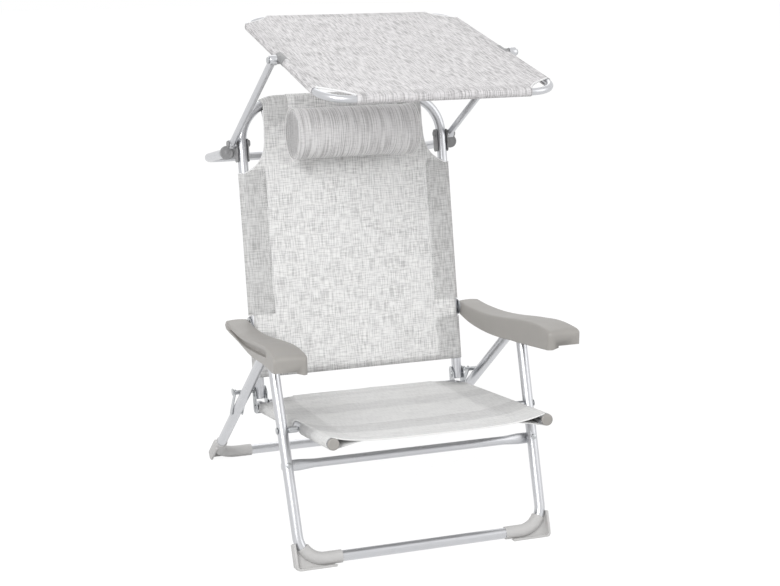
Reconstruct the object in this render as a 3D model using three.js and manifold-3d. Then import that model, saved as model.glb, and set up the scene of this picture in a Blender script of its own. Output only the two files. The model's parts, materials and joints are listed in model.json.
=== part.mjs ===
// Low folding sun lounger with a tilting canopy, in millimetres.
// X runs across the chair, the sitter faces -Y, and +Z is up.
// Left and right are the sitter's own, so left is +X.

import * as THREE from 'three';
import { mergeVertices } from 'three/addons/utils/BufferGeometryUtils.js';
import Module from 'manifold-3d';

const wasm = await Module();
wasm.setup();

const degrees = Math.PI / 180;
const sides = [
  { name: 'left', sign: 1 },
  { name: 'right', sign: -1 },
];

// Driving sizes

const gap = 0.3; // clearance between pieces that touch
const overrun = 20; // how far a cutter runs past what it cuts
const pinSides = 8;
const boreSides = 8;
const arcSteps = 3;

const frameTube = { radius: 11, wall: 1.4, sides: 12, bendSteps: 4 };
const hoodTube = { radius: 7, wall: 1.2, sides: 10, bendSteps: 4 };
const propTube = { radius: 10, wall: 1.3, sides: 10, bendSteps: 4 };
const armRod = { radius: 7.5, sides: 10 };
const braceTube = { radius: 9, wall: 1.3, sides: 12 };
const brace = { standOff: 5.2, flatHalfThickness: 4.6, flatHalfHeight: 11.5, flatLength: 34 };
const cloth = { thickness: 1.3, sleeveSides: 12 };

const frontLegs = {
  lean: 22.4 * degrees,
  setback: 94.9, // floor bar behind the front edge of the seat
  barHeight: 13.5,
  outsideBack: 41.2, // leg tops outside the backrest tube, centre to centre
  toeIn: 11,
  bendRadius: 50,
  seatPivotUp: 260.9,
  topPivotUp: 417,
  topOverrun: 10,
  braceUp: 190,
  soleDrop: 4.5,
};

const rearLegs = {
  lean: 50.8 * degrees,
  outsideFront: 0.5,
  bendRadius: 50,
  pivotBehind: 31.3,
  pivotDrop: 1,
  topOverrun: 10,
  soleDrop: 3,
};

const foot = {
  wall: 2.2,
  sleeveUp: 78,
  sleeveIn: 84,
  blockDepth: 12.5,
  rimThickness: 5,
  rimUp: 62,
  rimIn: 66,
  cornerRadius: 9,
  webHalfThickness: 1.6,
};

const seat = {
  rake: 8.95 * degrees,
  frontLength: 196.4,
  rearRivet: 304.7,
  rearEnd: 318,
  frontNarrower: 9.3,
  capThickness: 4,
  capRadius: 12,
  plugDepth: 14,
  crossBar: 290,
  crossBarRadius: 8,
  hemHalfWidth: 165,
  cornerCut: 18,
  clothFront: 186,
  clothRear: 284,
  clothSag: 15,
  sagSteps: 14,
  sagPower: 5, // how flat the sling hangs between its sleeves
  cutoutFront: 14,
  cutoutRear: 32,
  cutoutIn: 2, // the cutouts start this far outside the tube's centre line
  undersideDrop: 1,
};

const hinge = {
  reclineBehindRivet: 3.3, // recline pin from the seat tube's rear rivet
  reclineAbove: 27.5,
  latchBehindRecline: 3,
  latchAboveRecline: 9.1,
  plateThickness: 2,
  plateAheadOfRivet: 17.7,
  plateBehindRivet: 14.3,
  cornerRadius: 9,
  latchCornerShift: 1,
  reclineCornerShift: 2,
  innerEase: 0.4,
};

const backrest = {
  lean: 12.55 * degrees,
  halfWidth: 231.3,
  lowerEnd: 10,
  top: 634,
  bendRadius: 85,
  armPivotUp: 151.7,
  clothBottom: 36,
  shoulderBelowTop: 154,
  shoulderHandleIn: 30,
  shoulderHandleUp: 14,
  neckBelowTop: 74,
  neckHalfWidth: 182,
  neckHandleDown: 50,
  sheetBelowTop: 6,
  wrapSteps: 3,
  cutoutHalfHeight: 21,
  cutoutEase: 1,
};

const armrest = {
  outsideBack: 14,
  toeOut: 5.7,
  rearWidth: 49.7,
  frontWidth: 69,
  length: 470,
  height: 64,
  tip: 14,
  tipInset: 1,
  wall: 2.6,
  roof: 3,
  cavityRear: 12,
  grooveDepth: 5.5,
  cornerRadius: 12,
  leastCorner: 2,
  bossRadius: 8,
  bossDepth: 17,
  ribThickness: 4,
  ribRear: 24,
  ribOverlap: 1,
  ribBite: 2.4,
  ribDrop: 0.8,
  toothDepth: 2.2,
  toothPitch: 33,
  toothCount: 6,
};
const cornerShare = 0.3; // how far in the middle point of a chamfered corner lies

// Side profile of the armrest from its rear pin: shares of its length forward, then of its height up.
const armTopShares = [
  [0.119, 0.203], [0.268, 0.281], [0.396, 0.406], [0.502, 0.547], [0.609, 0.703],
  [0.715, 0.844], [0.789, 0.938], [0.864, 0.992], [0.928, 1], [0.97, 0.953], [0.991, 0.844], [1, 0.719],
];
const armInnerBottomShares = [
  [1, 0.391], [0.7, 0.047], [0.606, -0.047], [0.5, -0.172],
  [0.37, -0.281], [0.257, -0.328], [0.14, -0.328], [0.038, -0.25],
];
const armOuterBottomShares = [
  [1.043, 0.656], [0.964, 0.563], [0.826, 0.422], [0.536, 0.125],
  [0.277, 0.031], [0.085, -0.063], [-0.043, -0.094],
];
const grooveLowerShares = [[0.043, -0.016], [0.174, 0.047], [0.37, 0.125], [0.657, 0.453], [0.843, 0.703]];
const grooveUpperShares = [[0.851, 0.891], [0.657, 0.672], [0.37, 0.297], [0.174, 0.148], [0.043, 0.109]];

const legPin = {
  radius: 4,
  innerReach: 18.5,
  outerReach: 20,
  inset: 1,
  headOverhang: 3,
  spacerEase: 1,
  washerRadius: 17,
};
const linkPlate = { thickness: 2, radius: 9.5 };
const rivet = { radius: 3.2, headRadius: 5.6, headHeight: 1.8 };

// The pins that the backrest turns on pass through a barrel inside its tube, which keeps it from crushing.
const reclinePinHead = { radius: 5.9, innerRadius: 7.4, innerHeight: 3 };
const barrel = { halfLength: 7.4, endRadius: 4.4, middleHalfLength: 3.3, middleRadius: 8.3 };

const latch = {
  pinRadius: 3,
  nutRadius: 6,
  nutLength: 5,
  flangeRadius: 8,
  flangeThickness: 2.4,
  flangeOutsideLeg: 17,
  guideThickness: 2.2,
  guideHalfWidth: 5.6,
  guideLength: 76,
  guideTurn: 17 * degrees,
  webThickness: 2.2,
  webFrom: 6,
  webTo: 15,
};

const clamp = {
  belowTop: 104, // middle of the clamp below the backrest's top corners
  halfHeight: 25,
  cornerRadius: 6,
  cheek: 2.1,
  cheekFront: 8,
  web: 2.4,
  lugBehind: 40,
  lugDrop: 2,
  lugRadius: 11,
  armRise: 15,
};

const prop = {
  outsideBack: 29.7,
  frontEnd: 23,
  bar: 222,
  bendRadius: 34,
  capRadius: 15,
  capThickness: 4,
  capSides: 20,
  plugDepth: 9,
};

const hoodArm = {
  outsideBack: 21.3,
  rise: 32.5 * degrees,
  length: 400,
  eyeRadius: 10,
  boltRadius: 3,
  knobRadius: 7.5,
  headRadius: 6.5,
  headHeight: 4,
  nutHeight: 3,
};

const hood = {
  tilt: 9.4 * degrees,
  outsideBack: 9.7,
  front: 284,
  rear: 322,
  cornerRadius: 58,
  socketHalfLength: 24,
  socketWall: 2,
  socketEarInset: 1,
  clothInset: 66,
  middleNotch: 27,
};

const pillow = {
  length: 270,
  radius: 58,
  sides: 20,
  endRadiusShare: 0.93,
  endCrown: 7,
  endCrownShares: [0, 0.5, 0.85],
  leastRadiusShare: 0.02, // keeps the end's middle point off the axis
  swellShares: [0.02, 0.08, 0.25, 0.5, 0.75, 0.92, 0.98],
  swellPower: 0.35,
  belowTop: 78,
  standOff: 2.3,
  flapThickness: 1.6,
  flapInset: 12,
  flapBack: 48,
  flapEase: 2,
};

// Widths across the chair, all from the backrest tube outwards

const frontTopHalf = backrest.halfWidth + frontLegs.outsideBack;
const frontFootHalf = frontTopHalf - frontLegs.toeIn;
const rearHalf = frontTopHalf + rearLegs.outsideFront;
const seatRearHalf = backrest.halfWidth;
const seatFrontHalf = seatRearHalf - seat.frontNarrower;
const armInnerRear = backrest.halfWidth + armrest.outsideBack;
const armInnerFront = armInnerRear + armrest.toeOut;
const armOuterRear = armInnerRear + armrest.rearWidth;
const armOuterFront = armInnerFront + armrest.frontWidth;
const legPinInner = frontTopHalf - legPin.innerReach;
const legPinOuter = frontTopHalf + legPin.outerReach;
const latchFlange = rearHalf + latch.flangeOutsideLeg;
const propHalf = backrest.halfWidth + prop.outsideBack;
const hoodArmHalf = backrest.halfWidth + hoodArm.outsideBack;
const hoodHalf = backrest.halfWidth + hood.outsideBack;

// Materials

const material = (color, roughness, metalness) =>
  new THREE.MeshStandardMaterial({ color, roughness, metalness });
const aluminium = material(0xd9dadb, 0.3, 0.9);
const greyPlastic = material(0xb4b3b2, 0.55, 0);
const armPlastic = material(0x9c9a97, 0.5, 0);
const darkPlastic = material(0x7b7b7d, 0.5, 0);
const blackSteel = material(0x2c2c2e, 0.45, 0.6);
const zincSteel = material(0xc2c4c6, 0.35, 0.9);
const paleMesh = material(0xdedddb, 0.85, 0);
const hoodMesh = material(0xcfcdcc, 0.85, 0);
const pillowCloth = material(0xc9c6c4, 0.9, 0);

// Solid helpers

const vector = (x, y, z) => new THREE.Vector3(x, y, z);

function toSolid(geometry) {
  const plain = geometry.index ? geometry.toNonIndexed() : geometry.clone();
  plain.deleteAttribute('normal');
  plain.deleteAttribute('uv');
  const merged = mergeVertices(plain, 1e-4);
  return new wasm.Manifold(new wasm.Mesh({
    numProp: 3,
    vertProperties: new Float32Array(merged.attributes.position.array),
    triVerts: new Uint32Array(merged.index.array),
  }));
}

function toGeometry(solid) {
  const mesh = solid.getMesh();
  const geometry = new THREE.BufferGeometry();
  geometry.setAttribute('position', new THREE.BufferAttribute(mesh.vertProperties, 3));
  geometry.setIndex(new THREE.BufferAttribute(mesh.triVerts, 1));
  const flat = geometry.toNonIndexed();
  flat.computeVertexNormals();
  return flat;
}

// A faceted hole whose flats still clear a faceted pin by the gap.
const holeFor = (pinRadius) => (pinRadius + gap) / Math.cos(Math.PI / pinSides);
const join = (first, ...rest) => rest.reduce((sum, solid) => sum.add(solid), first);
const cut = (first, ...rest) => rest.reduce((sum, solid) => sum.subtract(solid), first);

// A route is a list of stations, each a point and the direction there.
class Route extends THREE.Curve {
  constructor(stations) {
    super();
    this.stations = stations;
  }

  station(share) {
    return this.stations[Math.round(share * (this.stations.length - 1))];
  }

  getPoint(share) {
    return this.station(share).point.clone();
  }

  getPointAt(share) {
    return this.station(share).point.clone();
  }

  getTangentAt(share) {
    return this.station(share).direction.clone();
  }
}

// Straight runs between corners, each corner rounded to the bend radius.
function bentRoute(corners, bendRadius, bendSteps) {
  const stations = [];
  const last = corners.length - 1;
  stations.push({ point: corners[0].clone(), direction: corners[1].clone().sub(corners[0]).normalize() });
  for (let i = 1; i < last; i += 1) {
    const before = corners[i].clone().sub(corners[i - 1]).normalize();
    const after = corners[i + 1].clone().sub(corners[i]).normalize();
    const turn = before.angleTo(after);
    const reach = bendRadius * Math.tan(turn / 2);
    const start = corners[i].clone().addScaledVector(before, -reach);
    const inward = after.clone().addScaledVector(before, -before.dot(after)).normalize();
    const centre = start.clone().addScaledVector(inward, bendRadius);
    for (let k = 0; k <= bendSteps; k += 1) {
      const angle = (turn * k) / bendSteps;
      const point = centre.clone()
        .addScaledVector(inward, -bendRadius * Math.cos(angle))
        .addScaledVector(before, bendRadius * Math.sin(angle));
      const direction = before.clone().multiplyScalar(Math.cos(angle))
        .addScaledVector(inward, Math.sin(angle));
      stations.push({ point, direction });
    }
  }
  stations.push({
    point: corners[last].clone(),
    direction: corners[last].clone().sub(corners[last - 1]).normalize(),
  });
  return new Route(stations);
}

function circle(radius, count) {
  const shape = new THREE.Shape();
  for (let i = 0; i < count; i += 1) {
    const angle = ((i + 0.5) / count) * 2 * Math.PI;
    const x = radius * Math.cos(angle);
    const y = radius * Math.sin(angle);
    if (i === 0) shape.moveTo(x, y);
    else shape.lineTo(x, y);
  }
  shape.closePath();
  return shape;
}

// A solid rod along a route.
function rod(route, radius, count) {
  return toSolid(new THREE.ExtrudeGeometry(circle(radius, count), {
    steps: route.stations.length - 1,
    extrudePath: route,
  }));
}

// A pipe along a route, open at both ends.
function pipe(route, outerRadius, innerRadius, count, innerCount = boreSides) {
  const shape = circle(outerRadius, count);
  shape.holes.push(circle(innerRadius, innerCount));
  return toSolid(new THREE.ExtrudeGeometry(shape, {
    steps: route.stations.length - 1,
    extrudePath: route,
  }));
}

const straight = (from, to) => bentRoute([from, to], 0, 0);

const tube = (route, stock) => pipe(route, stock.radius, stock.radius - stock.wall, stock.sides);

function box(low, high) {
  const size = high.clone().sub(low);
  const geometry = new THREE.BoxGeometry(size.x, size.y, size.z);
  geometry.translate((low.x + high.x) / 2, (low.y + high.y) / 2, (low.z + high.z) / 2);
  return toSolid(geometry);
}

// A pin or turned piece along X: profile points are (x, radius).
function turned(profile, y, z, sign = 1, count = pinSides) {
  const first = profile[0][0];
  const points = profile.map(([x, radius]) => new THREE.Vector2(radius, x - first));
  points.unshift(new THREE.Vector2(0, 0));
  points.push(new THREE.Vector2(0, profile[profile.length - 1][0] - first));
  const geometry = new THREE.LatheGeometry(points, count);
  geometry.rotateZ(-sign * Math.PI / 2);
  geometry.translate(sign * first, y, z);
  return toSolid(geometry);
}

const pinAlongX = (from, to, radius, y, z, sign = 1) =>
  turned([[from, radius], [to, radius]], y, z, sign);

// The barrel on a pin, as profile points about the middle of the tube that it fills.
const barrelProfile = (middle, pinRadius) => [
  [middle - barrel.halfLength, pinRadius],
  [middle - barrel.halfLength, barrel.endRadius],
  [middle - barrel.middleHalfLength, barrel.middleRadius],
  [middle + barrel.middleHalfLength, barrel.middleRadius],
  [middle + barrel.halfLength, barrel.endRadius],
  [middle + barrel.halfLength, pinRadius],
];

// A plate whose outline lies in YZ, thick along X.
function plateAcross(outline, from, to, sign = 1) {
  const shape = Array.isArray(outline)
    ? new THREE.Shape(outline.map(([y, z]) => new THREE.Vector2(y, z)))
    : outline;
  const geometry = new THREE.ExtrudeGeometry(shape, {
    depth: to - from,
    bevelEnabled: false,
    curveSegments: arcSteps,
  });
  const basis = new THREE.Matrix4().makeBasis(vector(0, 1, 0), vector(0, 0, 1), vector(1, 0, 0));
  geometry.applyMatrix4(basis);
  geometry.translate(sign > 0 ? from : -to, 0, 0);
  return toSolid(geometry);
}

// A plate whose outline lies in XZ, thick along Y.
function plateFacing(shape, from, to) {
  const geometry = new THREE.ExtrudeGeometry(shape, {
    depth: to - from,
    bevelEnabled: false,
    curveSegments: arcSteps,
  });
  const basis = new THREE.Matrix4().makeBasis(vector(1, 0, 0), vector(0, 0, 1), vector(0, -1, 0));
  geometry.applyMatrix4(basis);
  geometry.translate(0, to, 0);
  return toSolid(geometry);
}

// A plate whose outline lies in XY, thick along Z.
function plateFlat(shape, from, to) {
  const geometry = new THREE.ExtrudeGeometry(shape, {
    depth: to - from,
    bevelEnabled: false,
    curveSegments: arcSteps,
  });
  geometry.translate(0, 0, from);
  return toSolid(geometry);
}

// A closed outline round two or more equal circles, in order.
function roundedHull(centres, radius) {
  const area = centres.reduce((sum, [x, y], i) => {
    const [nextX, nextY] = centres[(i + 1) % centres.length];
    return sum + x * nextY - nextX * y;
  }, 0);
  const ring = area >= 0 ? centres : [...centres].reverse();
  const shape = new THREE.Shape();
  ring.forEach(([x, y], i) => {
    const [beforeX, beforeY] = ring[(i + ring.length - 1) % ring.length];
    const [afterX, afterY] = ring[(i + 1) % ring.length];
    const start = Math.atan2(y - beforeY, x - beforeX) - Math.PI / 2;
    const end = Math.atan2(afterY - y, afterX - x) - Math.PI / 2;
    if (i === 0) shape.moveTo(x + radius * Math.cos(start), y + radius * Math.sin(start));
    shape.absarc(x, y, radius, start, end, false);
  });
  shape.closePath();
  return shape;
}

function add(parent, name, solid, finish) {
  const mesh = new THREE.Mesh(toGeometry(solid), finish);
  mesh.name = name;
  parent.add(mesh);
  return mesh;
}

function groupAt(parent, y, z, turn) {
  const group = new THREE.Group();
  group.position.set(0, y, z);
  group.rotation.x = turn;
  parent.add(group);
  return group;
}

// Main points, found by walking round the frame

const along = (start, distance, lean) => ({
  y: start.y + distance * Math.sin(lean),
  z: start.z + distance * Math.cos(lean),
});
const frontBar = { y: frontLegs.setback, z: frontLegs.barHeight };
const seatPivot = along(frontBar, frontLegs.seatPivotUp, frontLegs.lean);
const legTop = along(frontBar, frontLegs.topPivotUp, frontLegs.lean);
const rearPivot = { y: legTop.y + rearLegs.pivotBehind, z: legTop.z - rearLegs.pivotDrop };
const rearLegLength = (rearPivot.z - frontLegs.barHeight) / Math.cos(rearLegs.lean);
const rearBar = { y: rearPivot.y + rearLegLength * Math.sin(rearLegs.lean), z: frontLegs.barHeight };
const inSeat = (behind, above) => ({
  y: seatPivot.y + behind * Math.cos(seat.rake) + above * Math.sin(seat.rake),
  z: seatPivot.z - behind * Math.sin(seat.rake) + above * Math.cos(seat.rake),
});
const reclineBehind = seat.rearRivet + hinge.reclineBehindRivet;
const latchBehind = reclineBehind + hinge.latchBehindRecline;
const latchAbove = hinge.reclineAbove + hinge.latchAboveRecline;
const reclinePin = inSeat(reclineBehind, hinge.reclineAbove);
const latchPin = inSeat(latchBehind, latchAbove);
const armPin = along(reclinePin, backrest.armPivotUp, backrest.lean);
const clampUp = backrest.top - clamp.belowTop;
const clampLugUp = clampUp - clamp.lugDrop;
const clampArmUp = clampUp + clamp.armRise;
const hoodArmFoot = along(reclinePin, clampArmUp, backrest.lean);
const hoodPivot = {
  y: hoodArmFoot.y - hoodArm.length * Math.cos(hoodArm.rise),
  z: hoodArmFoot.z + hoodArm.length * Math.sin(hoodArm.rise),
};

const lounger = new THREE.Group();

// Front leg frame: one tube bent into a U, with the seat and the armrests on its legs

const frontGroup = groupAt(lounger, frontBar.y, frontBar.z, -frontLegs.lean);
const legSplay = (frontTopHalf - frontFootHalf) / frontLegs.topPivotUp;
const frontHalfWidthAt = (up) => frontFootHalf + legSplay * up;

function legRoute(halfWidthAt, top, bendRadius) {
  return bentRoute([
    vector(-halfWidthAt(top), 0, top),
    vector(-halfWidthAt(0), 0, 0),
    vector(halfWidthAt(0), 0, 0),
    vector(halfWidthAt(top), 0, top),
  ], bendRadius, frameTube.bendSteps);
}

const holeThrough = (radius, up) =>
  pinAlongX(-overrun - frontTopHalf, overrun + frontTopHalf, holeFor(radius), 0, up);

const braceRivets = sides.map(({ sign }) => {
  const x = sign * frontHalfWidthAt(frontLegs.braceUp);
  return straight(vector(x, -overrun, frontLegs.braceUp), vector(x, 2 * overrun, frontLegs.braceUp));
});

const frontTopEnd = frontLegs.topPivotUp + frontLegs.topOverrun;
const frontRoute = legRoute(frontHalfWidthAt, frontTopEnd, frontLegs.bendRadius);
add(frontGroup, 'front_leg_frame', cut(
  tube(frontRoute, frameTube),
  holeThrough(legPin.radius, frontLegs.topPivotUp),
  holeThrough(legPin.radius, frontLegs.seatPivotUp),
  ...braceRivets.map((route) => rod(route, holeFor(rivet.radius), pinSides)),
), aluminium);

// The feet: a moulded sleeve round each lower bend, squared out to a corner

function footSolid(halfWidthAt, route, lean, soleDrop, sign) {
  const outer = frameTube.radius + foot.wall;
  const edge = halfWidthAt(0) + outer;
  const low = -frontLegs.barHeight / Math.cos(lean) - soleDrop;
  const sleeveRoute = bentRoute([
    vector(sign * halfWidthAt(foot.sleeveUp), 0, foot.sleeveUp),
    vector(sign * halfWidthAt(0), 0, 0),
    vector(sign * (halfWidthAt(0) - foot.sleeveIn), 0, 0),
  ], frontLegs.bendRadius, frameTube.bendSteps);
  const corner = (inset, up, inward) => {
    const right = edge - inset;
    const bottom = low + inset;
    const shape = new THREE.Shape();
    shape.moveTo(sign * (halfWidthAt(0) - inward), 0);
    shape.lineTo(sign * (halfWidthAt(0) - inward), bottom);
    shape.lineTo(sign * (right - foot.cornerRadius), bottom);
    const centreX = sign * (right - foot.cornerRadius);
    const centreZ = bottom + foot.cornerRadius;
    if (sign > 0) shape.absarc(centreX, centreZ, foot.cornerRadius, -Math.PI / 2, 0, false);
    else shape.absarc(centreX, centreZ, foot.cornerRadius, -Math.PI / 2, -Math.PI, true);
    shape.lineTo(sign * (right + legSplay * up), up);
    shape.lineTo(sign * halfWidthAt(0), up);
    const inner = frontLegs.bendRadius;
    shape.lineTo(sign * halfWidthAt(0), Math.min(up, inner));
    shape.quadraticCurveTo(sign * halfWidthAt(0), 0, sign * (halfWidthAt(0) - inner), 0);
    shape.closePath();
    return shape;
  };
  const block = plateFacing(corner(0, foot.rimUp, foot.rimIn), -foot.blockDepth, foot.blockDepth);
  const pocketShape = corner(foot.rimThickness, foot.rimUp + overrun, foot.rimIn + overrun);
  const pockets = [
    plateFacing(pocketShape, -foot.blockDepth - overrun, -foot.webHalfThickness),
    plateFacing(pocketShape, foot.webHalfThickness, foot.blockDepth + overrun),
  ];
  const sleeve = rod(sleeveRoute, outer, frameTube.sides);
  const bore = rod(route, frameTube.radius + gap, frameTube.sides);
  const belowLevel = (height) => box(
    vector(-2 * edge, -2 * edge, -2 * edge),
    vector(2 * edge, 2 * edge, height - frontLegs.barHeight),
  ).rotate([lean / degrees, 0, 0]);
  const hollows = pockets.map((pocket) => cut(pocket, belowLevel(foot.rimThickness)));
  return cut(join(cut(block, ...hollows), sleeve), bore, belowLevel(0));
}

for (const { name, sign } of sides) {
  add(frontGroup, `front_foot_${name}`,
    footSolid(frontHalfWidthAt, frontRoute, frontLegs.lean, frontLegs.soleDrop, sign), greyPlastic);
}

// The brace: a cross tube behind the front legs, flattened where it is riveted

const braceBack = frameTube.radius + brace.standOff;
const braceHalf = frontHalfWidthAt(frontLegs.braceUp);
const braceBody = cut(
  join(
    rod(straight(
      vector(-braceHalf + brace.flatLength, braceBack, frontLegs.braceUp),
      vector(braceHalf - brace.flatLength, braceBack, frontLegs.braceUp),
    ), braceTube.radius, braceTube.sides),
    ...sides.map(({ sign }) => {
      const near = sign * (braceHalf - brace.flatLength - overrun);
      const far = sign * (braceHalf + frameTube.radius);
      return box(
        vector(Math.min(near, far), braceBack - brace.flatHalfThickness,
          frontLegs.braceUp - brace.flatHalfHeight),
        vector(Math.max(near, far), braceBack + brace.flatHalfThickness,
          frontLegs.braceUp + brace.flatHalfHeight),
      );
    }),
  ),
  ...braceRivets.map((route) => rod(route, holeFor(rivet.radius), pinSides)),
);
add(frontGroup, 'front_brace', braceBody, aluminium);

sides.forEach(({ name, sign }) => {
  const x = sign * braceHalf;
  const headFront = -frameTube.radius - gap;
  const headBack = braceBack + brace.flatHalfThickness + gap;
  const up = frontLegs.braceUp;
  const bar = (from, to, radius) => rod(straight(vector(x, from, up), vector(x, to, up)), radius, pinSides);
  add(frontGroup, `brace_rivet_${name}`, join(
    bar(headFront - rivet.headHeight, headBack + rivet.headHeight, rivet.radius),
    bar(headFront - rivet.headHeight, headFront, rivet.headRadius),
    bar(headBack, headBack + rivet.headHeight, rivet.headRadius),
  ), zincSteel);
});

// The link at each leg top: two plates and the pin that the armrest rests on

const rearPivotInFront = {
  y: rearLegs.pivotBehind * Math.cos(frontLegs.lean) + rearLegs.pivotDrop * Math.sin(frontLegs.lean),
  z: frontLegs.topPivotUp
    + rearLegs.pivotBehind * Math.sin(frontLegs.lean) - rearLegs.pivotDrop * Math.cos(frontLegs.lean),
};
const linkInner = frontTopHalf - frameTube.radius - 2 * gap;
const linkOuter = rearHalf + frameTube.radius + gap;
for (const { name, sign } of sides) {
  const outline = roundedHull([
    [0, frontLegs.topPivotUp],
    [rearPivotInFront.y, rearPivotInFront.z],
  ], linkPlate.radius);
  const hole = pinAlongX(linkInner - overrun, linkOuter + overrun, holeFor(rivet.radius),
    rearPivotInFront.y, rearPivotInFront.z, sign);
  add(frontGroup, `leg_link_${name}`, cut(join(
    plateAcross(outline, linkInner - linkPlate.thickness, linkInner, sign),
    plateAcross(outline, linkOuter, linkOuter + linkPlate.thickness, sign),
    pinAlongX(legPinInner, legPinOuter, legPin.radius, 0, frontLegs.topPivotUp, sign),
  ), hole), zincSteel);
}

// Rear leg frame, hung on the links behind the front legs

const rearGroup = groupAt(lounger, rearPivot.y, rearPivot.z, rearLegs.lean);
const rearHalfWidthAt = () => rearHalf;
const rearOrigin = new THREE.Group();
rearOrigin.position.set(0, 0, -rearLegLength);
rearGroup.add(rearOrigin);
const rearRoute = legRoute(rearHalfWidthAt, rearLegLength + rearLegs.topOverrun, rearLegs.bendRadius);
add(rearOrigin, 'rear_leg_frame', cut(
  tube(rearRoute, frameTube),
  holeThrough(rivet.radius, rearLegLength),
), aluminium);
for (const { name, sign } of sides) {
  add(rearOrigin, `rear_foot_${name}`,
    footSolid(rearHalfWidthAt, rearRoute, -rearLegs.lean, rearLegs.soleDrop, sign), greyPlastic);
  const inner = linkInner - linkPlate.thickness - gap;
  const outer = linkOuter + linkPlate.thickness + gap;
  add(rearGroup, `rear_leg_pivot_${name}`, turned([
    [inner - rivet.headHeight, rivet.headRadius],
    [inner, rivet.headRadius],
    [inner, rivet.radius],
    [outer, rivet.radius],
    [outer, rivet.headRadius],
    [outer + rivet.headHeight, rivet.headRadius],
  ], 0, 0, sign), zincSteel);
}

// Seat: two side tubes pinned to the front legs, a rear bar, and the sling over them

const seatGroup = groupAt(lounger, seatPivot.y, seatPivot.z, -seat.rake);
const seatSplay = (seatRearHalf - seatFrontHalf) / (seat.frontLength + seat.rearRivet);
const seatHalfWidthAt = (y) => seatRearHalf - seatSplay * (seat.rearRivet - y);
const seatPoint = (y, sign) => vector(sign * seatHalfWidthAt(y), y, 0);
const tubeFront = -seat.frontLength + seat.capThickness;

for (const { name, sign } of sides) {
  const route = straight(seatPoint(tubeFront, sign), seatPoint(seat.rearEnd, sign));
  const pinHole = pinAlongX(seatFrontHalf - 2 * overrun, seatRearHalf + 2 * overrun,
    holeFor(legPin.radius), 0, 0, sign);
  const rivetHole = pinAlongX(seatFrontHalf - 2 * overrun, seatRearHalf + 2 * overrun,
    holeFor(rivet.radius), seat.rearRivet, 0, sign);
  add(seatGroup, `seat_tube_${name}`, cut(tube(route, frameTube), pinHole, rivetHole), aluminium);

  const capFront = seatPoint(-seat.frontLength, sign);
  const capBack = seatPoint(tubeFront - gap, sign);
  const plugEnd = seatPoint(tubeFront + seat.plugDepth, sign);
  const plugRadius = frameTube.radius - frameTube.wall - gap;
  add(seatGroup, `seat_cap_${name}`, join(
    rod(straight(capFront, capBack), seat.capRadius, frameTube.sides),
    rod(straight(capFront, plugEnd), plugRadius, boreSides),
  ), greyPlastic);

  const legInner = frontHalfWidthAt(frontLegs.seatPivotUp) - frameTube.radius;
  const legOuter = frontHalfWidthAt(frontLegs.seatPivotUp) + frameTube.radius;
  const seatInner = seatHalfWidthAt(0) - frameTube.radius;
  const seatOuter = seatHalfWidthAt(0) + frameTube.radius;
  const pinHead = legPin.radius + legPin.headOverhang;
  add(seatGroup, `seat_pivot_pin_${name}`, turned([
    [seatInner + legPin.inset, legPin.radius],
    [seatOuter + legPin.spacerEase, legPin.radius],
    [seatOuter + legPin.spacerEase, pinHead],
    [legInner - legPin.spacerEase, pinHead],
    [legInner - legPin.spacerEase, legPin.radius],
    [legOuter + gap, legPin.radius],
    [legOuter + gap, pinHead],
    [legOuter + gap + rivet.headHeight, pinHead],
  ], 0, 0, sign), zincSteel);
}

// Hinge brackets: a folded steel channel round the rear end of each seat tube

const plateInner = seatRearHalf - frameTube.radius - 2 * gap - hinge.innerEase;
const plateOuter = seatRearHalf + frameTube.radius + 2 * gap;
const plateFront = seat.rearRivet - hinge.plateAheadOfRivet;
const plateRear = seat.rearRivet + hinge.plateBehindRivet;
const bracketFloor = -frameTube.radius - 2 * gap - hinge.plateThickness;

// The rear bar runs between the brackets, just under the sheet of the sling.
const crossDrop = seat.clothSag - frameTube.radius + seat.crossBarRadius + gap;
const crossHalf = plateInner - hinge.plateThickness - gap;
const crossRoute = (half) => straight(
  vector(-half, seat.crossBar, -crossDrop),
  vector(half, seat.crossBar, -crossDrop),
);
add(seatGroup, 'seat_rear_bar', pipe(crossRoute(crossHalf),
  seat.crossBarRadius, seat.crossBarRadius - braceTube.wall, braceTube.sides), aluminium);

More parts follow.
